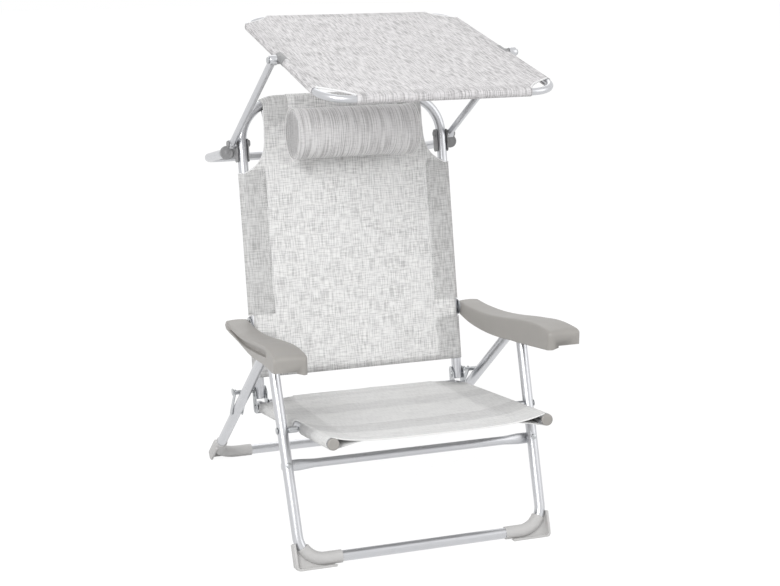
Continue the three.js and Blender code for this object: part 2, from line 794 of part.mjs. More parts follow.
for (const { name, sign } of sides) {
  const outline = roundedHull([
    [plateFront + hinge.cornerRadius, bracketFloor + hinge.cornerRadius],
    [plateRear - hinge.cornerRadius, bracketFloor + hinge.cornerRadius],
    [latchBehind + hinge.latchCornerShift, latchAbove - hinge.latchCornerShift],
    [reclineBehind - hinge.reclineCornerShift, hinge.reclineAbove + hinge.reclineCornerShift],
  ], hinge.cornerRadius);
  const inner = plateInner - hinge.plateThickness;
  const outer = plateOuter + hinge.plateThickness;
  const web = [
    [plateFront + hinge.cornerRadius, bracketFloor],
    [plateRear - hinge.cornerRadius, bracketFloor],
    [plateRear - hinge.cornerRadius, bracketFloor + hinge.plateThickness],
    [plateFront + hinge.cornerRadius, bracketFloor + hinge.plateThickness],
  ];
  const holeAt = (y, z, radius, from = inner - overrun) =>
    pinAlongX(from, outer + overrun, holeFor(radius), y, z, sign);
  add(seatGroup, `hinge_bracket_${name}`, cut(
    join(
      plateAcross(outline, inner, plateInner, sign),
      plateAcross(outline, plateOuter, outer, sign),
      plateAcross(web, inner, outer, sign),
    ),
    holeAt(seat.rearRivet, 0, rivet.radius),
    holeAt(reclineBehind, hinge.reclineAbove, rivet.radius),
    holeAt(latchBehind, latchAbove, latch.pinRadius, seatRearHalf),
  ), blackSteel);

  add(seatGroup, `seat_rivet_${name}`, turned([
    [inner - gap - rivet.headHeight, rivet.headRadius],
    [inner - gap, rivet.headRadius],
    [inner - gap, rivet.radius],
    [outer + gap, rivet.radius],
    [outer + gap, rivet.headRadius],
    [outer + gap + rivet.headHeight, rivet.headRadius],
  ], seat.rearRivet, 0, sign), zincSteel);
  add(seatGroup, `recline_pin_${name}`, turned([
    [inner - gap - reclinePinHead.innerHeight, reclinePinHead.innerRadius],
    [inner - gap, reclinePinHead.innerRadius],
    [inner - gap, rivet.radius],
    ...barrelProfile(backrest.halfWidth, rivet.radius),
    [outer + gap, rivet.radius],
    [outer + gap, reclinePinHead.radius],
    [outer + gap + rivet.headHeight, reclinePinHead.radius],
  ], reclineBehind, hinge.reclineAbove, sign), zincSteel);

  const nutFrom = outer + gap + rivet.headHeight + gap;
  add(seatGroup, `latch_pin_${name}`, turned([
    [plateOuter - gap, latch.pinRadius],
    [nutFrom, latch.pinRadius],
    [nutFrom, latch.nutRadius],
    [nutFrom + latch.nutLength, latch.nutRadius],
    [nutFrom + latch.nutLength, latch.pinRadius],
    [latchFlange, latch.pinRadius],
    [latchFlange, latch.flangeRadius],
    [latchFlange + latch.flangeThickness, latch.flangeRadius],
  ], latchBehind, latchAbove, sign), blackSteel);
}

// Latch guides: a yoke that hangs on each latch pin and straddles the rear leg

const guideGroup = groupAt(lounger, latchPin.y, latchPin.z, rearLegs.lean - latch.guideTurn);
const guideInner = rearHalf - frameTube.radius - 2 * gap - latch.guideThickness;
const guideOuter = rearHalf + frameTube.radius + 2 * gap;
for (const { name, sign } of sides) {
  const strip = roundedHull([[0, 0], [0, -latch.guideLength]], latch.guideHalfWidth);
  const web = [
    [latch.guideHalfWidth - latch.webThickness, -latch.webTo],
    [latch.guideHalfWidth, -latch.webTo],
    [latch.guideHalfWidth, -latch.webFrom],
    [latch.guideHalfWidth - latch.webThickness, -latch.webFrom],
  ];
  add(guideGroup, `latch_guide_${name}`, cut(
    join(
      plateAcross(strip, guideInner, guideInner + latch.guideThickness, sign),
      plateAcross(strip, guideOuter, guideOuter + latch.guideThickness, sign),
      plateAcross(web, guideInner, guideOuter + latch.guideThickness, sign),
    ),
    pinAlongX(guideInner - overrun, guideOuter + overrun, holeFor(latch.pinRadius), 0, 0, sign),
  ), zincSteel);
}

// Sling cloth helpers: sleeves round straight tubes, joined by a sheet

const sleeveInner = frameTube.radius + gap;
const sleeveOuter = sleeveInner + cloth.thickness;

// Seat sling: the sheet hangs from sleeves on the side tubes and dips between them

function seatCloth() {
  const sheetShape = new THREE.Shape();
  const halfAt = seatFrontHalf;
  const upper = [];
  const lower = [];
  for (let i = 0; i <= seat.sagSteps; i += 1) {
    const share = (2 * i) / seat.sagSteps - 1;
    const height = sleeveOuter - seat.clothSag * (1 - Math.abs(share) ** seat.sagPower);
    upper.push([share * halfAt, height]);
    lower.push([share * halfAt, height - cloth.thickness]);
  }
  [...lower, ...upper.reverse()].forEach(([x, z], i) => {
    if (i === 0) sheetShape.moveTo(x, z);
    else sheetShape.lineTo(x, z);
  });
  sheetShape.closePath();
  const sheet = toSolid((() => {
    const geometry = new THREE.ExtrudeGeometry(sheetShape, { depth: 1, bevelEnabled: false });
    geometry.applyMatrix4(new THREE.Matrix4().makeBasis(vector(1, 0, 0), vector(0, 0, 1), vector(0, -1, 0)));
    const position = geometry.attributes.position;
    for (let i = 0; i < position.count; i += 1) {
      const rear = position.getY(i) > -0.5;
      const y = rear ? seat.crossBar : -seat.clothFront;
      position.setXYZ(i, position.getX(i) * (seatHalfWidthAt(y) / halfAt), y, position.getZ(i));
    }
    return geometry;
  })());
  const sleeves = sides.map(({ sign }) => rod(straight(
    seatPoint(-seat.clothFront, sign), seatPoint(seat.clothRear, sign),
  ), sleeveOuter, cloth.sleeveSides));
  const bores = sides.map(({ sign }) => rod(straight(
    seatPoint(-seat.clothFront - overrun, sign), seatPoint(seat.clothRear + overrun, sign),
  ), sleeveInner, cloth.sleeveSides));
  const outsideBox = (sign, rear, top) => {
    const near = sign * (seatFrontHalf + seat.cutoutIn);
    const far = sign * (seatFrontHalf + 3 * overrun);
    return box(
      vector(Math.min(near, far), -seat.cutoutFront, -sleeveOuter - overrun),
      vector(Math.max(near, far), rear, top),
    );
  };
  const cutouts = sides.map(({ sign }) => outsideBox(sign, seat.cutoutRear, sleeveOuter - seat.cutoutIn));
  const underside = sides.map(({ sign }) =>
    outsideBox(sign, seat.clothRear + overrun, -seat.undersideDrop));
  const hem = rod(crossRoute(seat.hemHalfWidth), seat.crossBarRadius + gap + cloth.thickness, braceTube.sides);
  const corners = sides.map(({ sign }) => {
    const shape = new THREE.Shape();
    shape.moveTo(sign * seat.hemHalfWidth, seat.crossBar + overrun);
    shape.lineTo(sign * seat.hemHalfWidth, seat.crossBar - seat.crossBarRadius);
    shape.lineTo(sign * (seatRearHalf - sleeveOuter), seat.clothRear - seat.cornerCut);
    shape.lineTo(sign * (seatRearHalf - sleeveOuter), seat.clothRear);
    shape.lineTo(sign * (seatRearHalf + overrun), seat.clothRear);
    shape.lineTo(sign * (seatRearHalf + overrun), seat.crossBar + overrun);
    shape.closePath();
    return plateFlat(shape, -overrun, sleeveOuter + overrun);
  });
  return cut(join(sheet, ...sleeves, hem), ...bores, rod(crossRoute(crossHalf + overrun),
    seat.crossBarRadius + gap, braceTube.sides), ...cutouts, ...underside, ...corners);
}
add(seatGroup, 'seat_cloth', seatCloth(), paleMesh);

// Backrest: an upside-down U tube on the recline pins, with its sling

const backGroup = groupAt(lounger, reclinePin.y, reclinePin.z, -backrest.lean);
const backCorners = [
  vector(-backrest.halfWidth, 0, -backrest.lowerEnd),
  vector(-backrest.halfWidth, 0, backrest.top),
  vector(backrest.halfWidth, 0, backrest.top),
  vector(backrest.halfWidth, 0, -backrest.lowerEnd),
];
const backRoute = bentRoute(backCorners, backrest.bendRadius, frameTube.bendSteps + 1);
const acrossBack = (radius, up) => pinAlongX(-backrest.halfWidth - 2 * overrun,
  backrest.halfWidth + 2 * overrun, holeFor(radius), 0, up);
add(backGroup, 'backrest_frame', cut(
  tube(backRoute, frameTube),
  acrossBack(rivet.radius, 0),
  acrossBack(legPin.radius, backrest.armPivotUp),
  acrossBack(hoodArm.boltRadius, clampArmUp),
), aluminium);

function backCloth() {
  const front = -sleeveOuter;
  const half = backrest.halfWidth;
  const neck = backrest.neckHalfWidth;
  const shoulder = backrest.top - backrest.shoulderBelowTop;
  const neckUp = backrest.top - backrest.neckBelowTop;
  const sheetTop = backrest.top - backrest.sheetBelowTop;
  const shoulderHandle = [half - backrest.shoulderHandleIn, shoulder + backrest.shoulderHandleUp];
  const neckHandle = neckUp - backrest.neckHandleDown;
  const shape = new THREE.Shape();
  shape.moveTo(-half, backrest.clothBottom);
  shape.lineTo(half, backrest.clothBottom);
  shape.lineTo(half, shoulder);
  shape.bezierCurveTo(shoulderHandle[0], shoulderHandle[1], neck, neckHandle, neck, neckUp);
  shape.lineTo(neck, sheetTop);
  shape.lineTo(-neck, sheetTop);
  shape.lineTo(-neck, neckUp);
  shape.bezierCurveTo(-neck, neckHandle, -shoulderHandle[0], shoulderHandle[1], -half, shoulder);
  shape.closePath();
  const sheet = plateFacing(shape, front, front + cloth.thickness);
  const sleeves = sides.map(({ sign }) => rod(straight(
    vector(sign * half, 0, backrest.clothBottom), vector(sign * half, 0, shoulder),
  ), sleeveOuter, cloth.sleeveSides));
  const bendStart = half - backrest.bendRadius;
  const reach = Math.asin((neck - bendStart) / backrest.bendRadius);
  const centreUp = backrest.top - backrest.bendRadius;
  const topStations = [];
  const { wrapSteps } = backrest;
  const arcStation = (angle, sign) => ({
    point: vector(sign * (bendStart + backrest.bendRadius * Math.sin(angle)), 0,
      centreUp + backrest.bendRadius * Math.cos(angle)),
    direction: vector(Math.cos(angle), 0, -sign * Math.sin(angle)),
  });
  for (let k = wrapSteps; k >= 0; k -= 1) topStations.push(arcStation((reach * k) / wrapSteps, -1));
  for (let k = 1; k <= wrapSteps; k += 1) topStations.push(arcStation((reach * k) / wrapSteps, 1));
  const topSleeve = rod(new Route(topStations), sleeveOuter, cloth.sleeveSides);
  const bores = rod(backRoute, sleeveInner, cloth.sleeveSides);
  const cutouts = sides.map(({ sign }) => {
    const near = sign * (half - backrest.cutoutEase);
    const far = sign * (half + 3 * overrun);
    return box(
      vector(Math.min(near, far), -overrun, backrest.armPivotUp - backrest.cutoutHalfHeight),
      vector(Math.max(near, far), overrun, backrest.armPivotUp + backrest.cutoutHalfHeight),
    );
  });
  return cut(join(sheet, ...sleeves, topSleeve), bores, ...cutouts);
}
add(backGroup, 'backrest_cloth', backCloth(), paleMesh);

// Armrest pins through the backrest tube, with a washer on the outside

const washerInner = backrest.halfWidth + frameTube.radius + gap;
const washerOuter = armInnerRear - gap;
for (const { name, sign } of sides) {
  const inner = backrest.halfWidth - frameTube.radius + legPin.inset;
  add(backGroup, `arm_pin_${name}`, turned([
    [inner, legPin.radius],
    ...barrelProfile(backrest.halfWidth, legPin.radius),
    [washerInner, legPin.radius],
    [washerInner, legPin.washerRadius],
    [washerOuter, legPin.washerRadius],
    [washerOuter, legPin.radius],
    [armInnerRear + armrest.bossDepth, legPin.radius],
  ], 0, backrest.armPivotUp, sign), zincSteel);
}

// Armrests: hollow mouldings, open below, with the rack that takes the leg pin

const armGroup = groupAt(lounger, armPin.y, armPin.z, 0);
const shareAlong = (forward) => forward / armrest.length;
const innerAt = (forward) => armInnerRear
  + (armInnerFront - armInnerRear) * shareAlong(forward);
const outerAt = (forward) => armOuterRear
  + (armOuterFront - armOuterRear) * shareAlong(forward);

const inArmrest = (shares) => shares.map(([forward, up]) => [forward * armrest.length, up * armrest.height]);
const armTop = inArmrest(armTopShares);
const armInnerBottom = inArmrest(armInnerBottomShares);

// A side profile, run right across the armrest.
function profileAcross(points, sign) {
  const outline = points.map(([forward, up]) => [-forward, up]);
  return plateAcross(outline, armInnerRear - overrun, armOuterFront + overrun, sign);
}

function planSlice(insetInner, insetOuter, insetFront, rear, sign) {
  const radius = Math.max(armrest.cornerRadius - insetFront, armrest.leastCorner);
  const front = armrest.length - insetFront;
  const shape = new THREE.Shape();
  const place = (x, forward) => [sign * x, -forward];
  const innerFront = innerAt(front) + insetInner;
  const outerFront = outerAt(front) - insetOuter;
  const points = [
    place(innerAt(rear) + insetInner, rear),
    place(innerAt(front - radius) + insetInner, front - radius),
    place(innerFront + radius * cornerShare, front - radius * cornerShare),
    place(innerFront + radius, front),
    place(outerFront - radius, front),
    place(outerFront - radius * cornerShare, front - radius * cornerShare),
    place(outerAt(front - radius) - insetOuter, front - radius),
    place(outerAt(rear) - insetOuter, rear),
  ];
  points.forEach(([x, y], i) => {
    if (i === 0) shape.moveTo(x, y);
    else shape.lineTo(x, y);
  });
  shape.closePath();
  return plateFlat(shape, -3 * overrun, 6 * overrun);
}

function tipRing(radius) {
  const points = [];
  for (let k = 0; k <= 6; k += 1) {
    const angle = -Math.PI / 2 + (Math.PI * k) / 6;
    points.push([-radius * Math.cos(angle), radius * Math.sin(angle)]);
  }
  return points;
}

function armSolid(sign) {
  const body = profileAcross([...armTop, ...armInnerBottom, ...tipRing(armrest.tip - armrest.tipInset)], sign);
  const shell = body.intersect(planSlice(0, 0, 0, -armrest.tip - armrest.wall, sign));
  const lowered = armTop.map(([forward, up]) => [
    Math.min(forward, armrest.length - armrest.wall),
    up - armrest.roof,
  ]);
  const cavityProfile = [[armrest.cavityRear, lowered[0][1]], ...lowered,
    [armrest.length - armrest.wall, -overrun * 3], [armrest.cavityRear, -overrun * 3]];
  const cavity = profileAcross(cavityProfile, sign).intersect(
    planSlice(armrest.wall, armrest.grooveDepth + armrest.wall, armrest.wall, armrest.cavityRear, sign));
  const outerTrim = plateAcross(
    [...inArmrest(armOuterBottomShares).map(([forward, up]) => [-forward, up]), [overrun, -3 * overrun],
      [-armrest.length - overrun, -3 * overrun]],
    (armInnerFront + armOuterRear) / 2, armOuterFront + overrun, sign);
  const grooveWall = (offset) => {
    const shape = new THREE.Shape();
    const rear = -armrest.tip - overrun;
    const front = armrest.length;
    [[outerAt(rear) + offset, rear], [outerAt(front) + offset, front],
      [outerAt(front) + 3 * overrun, front], [outerAt(rear) + 3 * overrun, rear]]
      .forEach(([x, forward], i) => {
        if (i === 0) shape.moveTo(sign * x, -forward);
        else shape.lineTo(sign * x, -forward);
      });
    shape.closePath();
    return plateFlat(shape, -3 * overrun, 6 * overrun);
  };
  const groove = plateAcross(
    inArmrest([...grooveLowerShares, ...grooveUpperShares]).map(([forward, up]) => [-forward, up]),
    armOuterRear - overrun, armOuterFront + overrun, sign)
    .intersect(grooveWall(-armrest.grooveDepth));
  let solid = cut(shell, cavity, outerTrim, groove);

  // The ribs run along the line from the rear pin to the leg pin.
  const pinForward = armPin.y - legTop.y;
  const pinUp = legTop.z - armPin.z;
  const slope = pinUp / pinForward;
  const ribFrom = pinForward - armrest.ribRear;
  const ribTo = armrest.length - armrest.wall;
  const ribEdge = (forward) => slope * forward + legPin.radius + armrest.ribDrop;
  const ribOutline = [[ribFrom, ribEdge(ribFrom)], [ribTo, ribEdge(ribTo)],
    [ribTo, armrest.length], [ribFrom, armrest.length]].map(([forward, up]) => [-forward, up]);
  const teeth = [];
  for (let k = 0; k < armrest.toothCount; k += 1) {
    const forward = pinForward + k * armrest.toothPitch;
    teeth.push(pinAlongX(armInnerRear, armOuterFront, legPin.radius + armrest.ribDrop,
      -forward, slope * forward + armrest.toothDepth, sign));
  }
  const ribPlaces = [
    [innerAt(ribTo) - armrest.ribOverlap, legPinInner + armrest.ribBite],
    [legPinOuter - armrest.ribBite, legPinOuter + armrest.ribThickness - armrest.ribBite],
  ];
  const ribs = ribPlaces.map(([from, to]) => cut(plateAcross(ribOutline, from, to, sign), ...teeth)
    .intersect(body).intersect(planSlice(0, armrest.wall, 0, 0, sign)));
  const boss = pinAlongX(innerAt(0) + armrest.ribOverlap, armInnerRear + armrest.bossDepth,
    armrest.bossRadius, 0, 0, sign);
  const bossHole = pinAlongX(armInnerRear - overrun, armInnerRear + armrest.bossDepth + gap,
    holeFor(legPin.radius), 0, 0, sign);
  solid = join(solid, ...ribs, boss);
  return cut(solid, bossHole);
}
for (const { name, sign } of sides) add(armGroup, `armrest_${name}`, armSolid(sign), armPlastic);

// Clamps on the backrest tube carry the canopy arms and the rear prop

for (const { name, sign } of sides) {
  const inner = backrest.halfWidth - frameTube.radius - 2 * gap;
  const outer = backrest.halfWidth + frameTube.radius + 2 * gap;
  const low = clampUp - clamp.halfHeight;
  const high = clampUp + clamp.halfHeight;
  const webFront = frameTube.radius + 2 * gap;
  const cheek = roundedHull([
    [-clamp.cheekFront + clamp.cornerRadius, low + clamp.cornerRadius],
    [webFront + clamp.web - clamp.cornerRadius, low + clamp.cornerRadius],
    [webFront + clamp.web - clamp.cornerRadius, high - clamp.cornerRadius],
    [-clamp.cheekFront + clamp.cornerRadius, high - clamp.cornerRadius],
  ], clamp.cornerRadius);
  const lug = roundedHull([[0, clampLugUp], [clamp.lugBehind, clampLugUp]], clamp.lugRadius);
  const webBack = webFront + clamp.web;
  const webLow = low + clamp.cornerRadius;
  const webHigh = high - clamp.cornerRadius;
  const web = [[webFront, webLow], [webBack, webLow], [webBack, webHigh], [webFront, webHigh]];
  add(backGroup, `canopy_clamp_${name}`, cut(
    join(
      plateAcross(cheek, inner - clamp.cheek, inner, sign),
      plateAcross(cheek, outer, outer + clamp.cheek, sign),
      plateAcross(lug, outer, outer + clamp.cheek, sign),
      plateAcross(web, inner - clamp.cheek, outer + clamp.cheek, sign),
    ),
    pinAlongX(inner - overrun, outer + overrun, holeFor(hoodArm.boltRadius), 0, clampArmUp, sign),
    pinAlongX(outer - gap, outer + overrun, holeFor(rivet.radius), clamp.lugBehind, clampLugUp, sign),
  ), darkPlastic);

  const armOuter = hoodArmHalf + armRod.radius + gap;
  const nutFrom = inner - clamp.cheek - gap - hoodArm.headHeight;
  add(backGroup, `canopy_arm_bolt_${name}`, turned([
    [nutFrom, hoodArm.knobRadius],
    [nutFrom + hoodArm.headHeight, hoodArm.knobRadius],
    [nutFrom + hoodArm.headHeight, hoodArm.boltRadius],
    [armOuter, hoodArm.boltRadius],
    [armOuter, hoodArm.knobRadius],
    [armOuter + hoodArm.headHeight, hoodArm.knobRadius],
  ], 0, clampArmUp, sign), darkPlastic);
}

// Rear prop: a U bar on the clamps that carries the backrest when it lies flat

const propPivot = {
  y: reclinePin.y + clampLugUp * Math.sin(backrest.lean) + clamp.lugBehind * Math.cos(backrest.lean),
  z: reclinePin.z + clampLugUp * Math.cos(backrest.lean) - clamp.lugBehind * Math.sin(backrest.lean),
};
const propGroup = groupAt(lounger, propPivot.y, propPivot.z, -backrest.lean);
const propFront = prop.frontEnd - clamp.lugBehind;
const propBar = prop.bar - clamp.lugBehind;
add(propGroup, 'rear_prop', cut(
  tube(bentRoute([
    vector(-propHalf, propFront, 0),
    vector(-propHalf, propBar, 0),
    vector(propHalf, propBar, 0),
    vector(propHalf, propFront, 0),
  ], prop.bendRadius, propTube.bendSteps), propTube),
  pinAlongX(-propHalf - overrun, propHalf + overrun, holeFor(rivet.radius), 0, 0),
), aluminium);
for (const { name, sign } of sides) {
  const x = sign * propHalf;
  const plugRadius = propTube.radius - propTube.wall - gap;
  add(propGroup, `prop_cap_${name}`, join(
    rod(straight(vector(x, propFront - gap - prop.capThickness, 0), vector(x, propFront - gap, 0)),
      prop.capRadius, prop.capSides),
    rod(straight(vector(x, propFront - gap - prop.capThickness, 0), vector(x, propFront + prop.plugDepth, 0)),
      plugRadius, boreSides),
  ), darkPlastic);
  const lugOuter = backrest.halfWidth + frameTube.radius + 2 * gap + clamp.cheek;
  const lugInner = lugOuter - clamp.cheek - gap - rivet.headHeight;
  add(propGroup, `prop_pivot_${name}`, turned([
    [lugInner, rivet.headRadius],
    [lugInner + rivet.headHeight, rivet.headRadius],
    [lugInner + rivet.headHeight, rivet.radius],
    [lugOuter + gap, rivet.radius],
    [lugOuter + gap, rivet.headRadius],
    [propHalf - propTube.radius - gap, rivet.headRadius],
    [propHalf - propTube.radius - gap, rivet.radius],
    [propHalf + propTube.radius + gap, rivet.radius],
    [propHalf + propTube.radius + gap, rivet.headRadius],
    [propHalf + propTube.radius + gap + rivet.headHeight, rivet.headRadius],
  ], 0, 0, sign), zincSteel);
}

// Canopy arms: straight rods with an eye at each end

const armTilt = Math.PI / 2 - hoodArm.rise;
const hoodArmGroup = groupAt(lounger, hoodArmFoot.y, hoodArmFoot.z, armTilt);
for (const { name, sign } of sides) {
  const x = sign * hoodArmHalf;
  const eyeFrom = hoodArmHalf - armRod.radius;
  const eyeTo = hoodArmHalf + armRod.radius;
  const eyes = [0, hoodArm.length].map((up) => pinAlongX(eyeFrom, eyeTo, hoodArm.eyeRadius, 0, up, sign));
  const holes = [0, hoodArm.length].map((up) =>
    pinAlongX(eyeFrom - overrun, eyeTo + overrun, holeFor(hoodArm.boltRadius), 0, up, sign));
  add(hoodArmGroup, `canopy_arm_${name}`, cut(
    join(
      rod(straight(vector(x, 0, 0), vector(x, 0, hoodArm.length)), armRod.radius, armRod.sides),
      ...eyes,
    ),
    ...holes,
  ), aluminium);
}

// Canopy: two U tubes that meet in a socket at each pivot, under one cloth

const hoodGroup = groupAt(lounger, hoodPivot.y, hoodPivot.z, hood.tilt);
const hoodCentre = hoodHalf - hoodTube.radius - gap - cloth.thickness;
const hoodFrontLine = -hood.front + hoodTube.radius + cloth.thickness;
const hoodRearLine = hood.rear - hoodTube.radius - cloth.thickness;
const tubeEnd = hoodArm.boltRadius + 3 * gap;
const hoodRoute = (line, end) => bentRoute([
  vector(-hoodCentre, end, 0),
  vector(-hoodCentre, line, 0),
  vector(hoodCentre, line, 0),
  vector(hoodCentre, end, 0),
], hood.cornerRadius, hoodTube.bendSteps);
const hoodFrontRoute = hoodRoute(hoodFrontLine, -tubeEnd);
const hoodRearRoute = hoodRoute(hoodRearLine, tubeEnd);
add(hoodGroup, 'canopy_frame_front', tube(hoodFrontRoute, hoodTube), aluminium);
add(hoodGroup, 'canopy_frame_rear', tube(hoodRearRoute, hoodTube), aluminium);
for (const { name, sign } of sides) {
  const x = sign * hoodCentre;
  const outerRadius = hoodTube.radius + gap + hood.socketWall;
  const socketEnd = hoodArmHalf - armRod.radius - gap;
  add(hoodGroup, `canopy_socket_${name}`, cut(
    join(
      rod(straight(vector(x, -hood.socketHalfLength, 0), vector(x, hood.socketHalfLength, 0)),
        outerRadius, hoodTube.sides),
      pinAlongX(hoodCentre, socketEnd, outerRadius - hood.socketEarInset, 0, 0, sign),
    ),
    rod(straight(vector(x, -hood.socketHalfLength - gap, 0), vector(x, hood.socketHalfLength + gap, 0)),
      hoodTube.radius + gap, hoodTube.sides),
    pinAlongX(hoodCentre - overrun, socketEnd + gap, holeFor(hoodArm.boltRadius), 0, 0, sign),
  ), darkPlastic);
  const armOuter = hoodArmHalf + armRod.radius + gap;
  const innerHead = hoodCentre - outerRadius - gap;
  add(hoodGroup, `canopy_tilt_bolt_${name}`, turned([
    [innerHead - hoodArm.nutHeight, hoodArm.headRadius],
    [innerHead, hoodArm.headRadius],
    [innerHead, hoodArm.boltRadius],
    [armOuter, hoodArm.boltRadius],
    [armOuter, hoodArm.headRadius],
    [armOuter + hoodArm.headHeight, hoodArm.headRadius],
  ], 0, 0, sign), blackSteel);
}

function hoodCloth() {
  const outer = hoodTube.radius + gap + cloth.thickness;
  const inner = hoodTube.radius + gap;
  const inset = hood.clothInset;
  const shape = new THREE.Shape();
  const corners = [
    [-hoodCentre, hoodFrontLine + inset], [-hoodCentre + inset, hoodFrontLine],
    [hoodCentre - inset, hoodFrontLine], [hoodCentre, hoodFrontLine + inset],
    [hoodCentre, hoodRearLine - inset], [hoodCentre - inset, hoodRearLine],
    [-hoodCentre + inset, hoodRearLine], [-hoodCentre, hoodRearLine - inset],
  ];
  corners.forEach(([x, y], i) => {
    if (i === 0) shape.moveTo(x, y);
    else shape.lineTo(x, y);
  });
  shape.closePath();
  const sheet = plateFlat(shape, inner, outer);
  const sleeve = (from, to, radius) => rod(straight(from, to), radius, hoodTube.sides);
  const runs = [
    [vector(-hoodCentre + inset, hoodFrontLine, 0), vector(hoodCentre - inset, hoodFrontLine, 0)],
    [vector(-hoodCentre + inset, hoodRearLine, 0), vector(hoodCentre - inset, hoodRearLine, 0)],
    ...sides.map(({ sign }) => [
      vector(sign * hoodCentre, hoodFrontLine + inset, 0),
      vector(sign * hoodCentre, hoodRearLine - inset, 0),
    ]),
  ];
  const notches = sides.map(({ sign }) => {
    const near = sign * (hoodCentre - 2 * hoodTube.radius);
    const far = sign * (hoodCentre + 3 * overrun);
    return box(
      vector(Math.min(near, far), -hood.middleNotch, -overrun),
      vector(Math.max(near, far), hood.middleNotch, overrun),
    );
  });
  return cut(
    join(sheet, ...runs.map(([from, to]) => sleeve(from, to, outer))),
    rod(hoodFrontRoute, inner, hoodTube.sides),
    rod(hoodRearRoute, inner, hoodTube.sides),
    ...notches,
  );
}
add(hoodGroup, 'canopy_cloth', hoodCloth(), hoodMesh);

// Pillow: a filled roll with drawn-in ends, and the flap that hangs it from the top tube

const pillowCentre = -sleeveOuter - pillow.standOff - pillow.radius;
const pillowUp = backrest.top - pillow.belowTop;
function pillowSolid() {
  const half = pillow.length / 2;
  const end = pillow.radius * pillow.endRadiusShare;
  const profile = [];
  const crown = pillow.endCrownShares.map((share) => [
    half + pillow.endCrown * (1 - share * share), end * Math.max(share, pillow.leastRadiusShare)]);
  crown.forEach(([x, radius]) => profile.push([-x, radius]));
  profile.push([-half, end]);
  pillow.swellShares.forEach((share) => {
    const bulge = Math.sin(Math.PI * share) ** pillow.swellPower;
    profile.push([-half + pillow.length * share, end + (pillow.radius - end) * bulge]);
  });
  profile.push([half, end]);
  [...crown].reverse().forEach((point) => profile.push(point));
  return turned(profile, pillowCentre, pillowUp, 1, pillow.sides);
}
add(backGroup, 'pillow', pillowSolid(), pillowCloth);

function pillowFlap() {
  const half = pillow.length / 2 - pillow.flapInset;
  const inner = sleeveOuter + gap;
  const outer = inner + pillow.flapThickness;
  const topStraight = backrest.halfWidth - backrest.bendRadius;
  const wrapHalf = Math.min(half, topStraight - pillow.flapEase);
  const strip = box(vector(-wrapHalf, -outer, pillowUp), vector(wrapHalf, -inner, backrest.top));
  const back = box(vector(-wrapHalf, inner, backrest.top - pillow.flapBack),
    vector(wrapHalf, outer, backrest.top));
  const ring = pipe(straight(vector(-wrapHalf, 0, backrest.top), vector(wrapHalf, 0, backrest.top)),
    outer / Math.cos(Math.PI / cloth.sleeveSides), inner / Math.cos(Math.PI / cloth.sleeveSides),
    cloth.sleeveSides, cloth.sleeveSides);
  const lowerHalf = box(vector(-wrapHalf - gap, -overrun, backrest.top - 2 * overrun),
    vector(wrapHalf + gap, overrun, backrest.top));
  return join(cut(ring, lowerHalf), strip, back);
}
add(backGroup, 'pillow_flap', pillowFlap(), pillowCloth);

// Rest the feet on Z = 0 and centre the outline over the origin

lounger.updateMatrixWorld(true);
const bounds = new THREE.Box3().setFromObject(lounger, true);
const centre = bounds.getCenter(vector(0, 0, 0));
lounger.position.set(-centre.x, -centre.y, -bounds.min.z);

export default lounger;
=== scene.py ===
"""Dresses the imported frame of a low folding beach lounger: tubes, mouldings, slings, head roll and canopy."""

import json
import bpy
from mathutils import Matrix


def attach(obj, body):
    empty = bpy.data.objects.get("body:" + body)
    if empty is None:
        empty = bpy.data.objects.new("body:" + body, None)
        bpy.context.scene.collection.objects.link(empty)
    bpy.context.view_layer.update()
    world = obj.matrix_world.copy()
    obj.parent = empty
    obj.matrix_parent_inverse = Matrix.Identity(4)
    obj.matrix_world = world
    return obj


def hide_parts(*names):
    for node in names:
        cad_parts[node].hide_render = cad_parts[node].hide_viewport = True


bl_info = {
    "name": "Beach Lounger with Canopy",
    "version": (1, 0, 0),
    "blender": (4, 5, 0),
    "location": "View3D > Sidebar > Lounger",
    "description": "Builds a folding lounger's tubes, mouldings, slings, head roll and canopy on its frame",
    "category": "Object",
}

from math import asin, cos, pi, radians, sin, tan

import bmesh
import bpy
from mathutils import Matrix, Vector, noise

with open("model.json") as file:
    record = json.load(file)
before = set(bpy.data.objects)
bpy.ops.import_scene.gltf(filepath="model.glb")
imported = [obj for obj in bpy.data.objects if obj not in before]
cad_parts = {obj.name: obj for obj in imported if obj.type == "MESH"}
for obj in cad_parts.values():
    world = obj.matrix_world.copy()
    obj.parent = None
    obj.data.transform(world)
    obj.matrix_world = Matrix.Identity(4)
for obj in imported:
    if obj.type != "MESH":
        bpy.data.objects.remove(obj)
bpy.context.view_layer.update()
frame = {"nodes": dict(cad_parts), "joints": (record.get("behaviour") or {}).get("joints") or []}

MM = 0.001
SIDES = (("left", 1), ("right", -1))


# Sizes and colours that a user would change


def linear(hex_code):
    """A linear colour from an sRGB hex value."""
    parts = (int(hex_code[i : i + 2], 16) / 255 for i in (1, 3, 5))
    return tuple(c / 12.92 if c <= 0.04045 else ((c + 0.055) / 1.055) ** 2.4 for c in parts)


def length(name, description, millimetres):
    return bpy.props.FloatProperty(
        name=name, description=description, default=millimetres * MM, min=0, precision=4, unit="LENGTH"
    )


def colour(name, description, hex_code):
    return bpy.props.FloatVectorProperty(
        name=name, description=description, default=linear(hex_code), size=3, min=0, max=1, subtype="COLOR"
    )


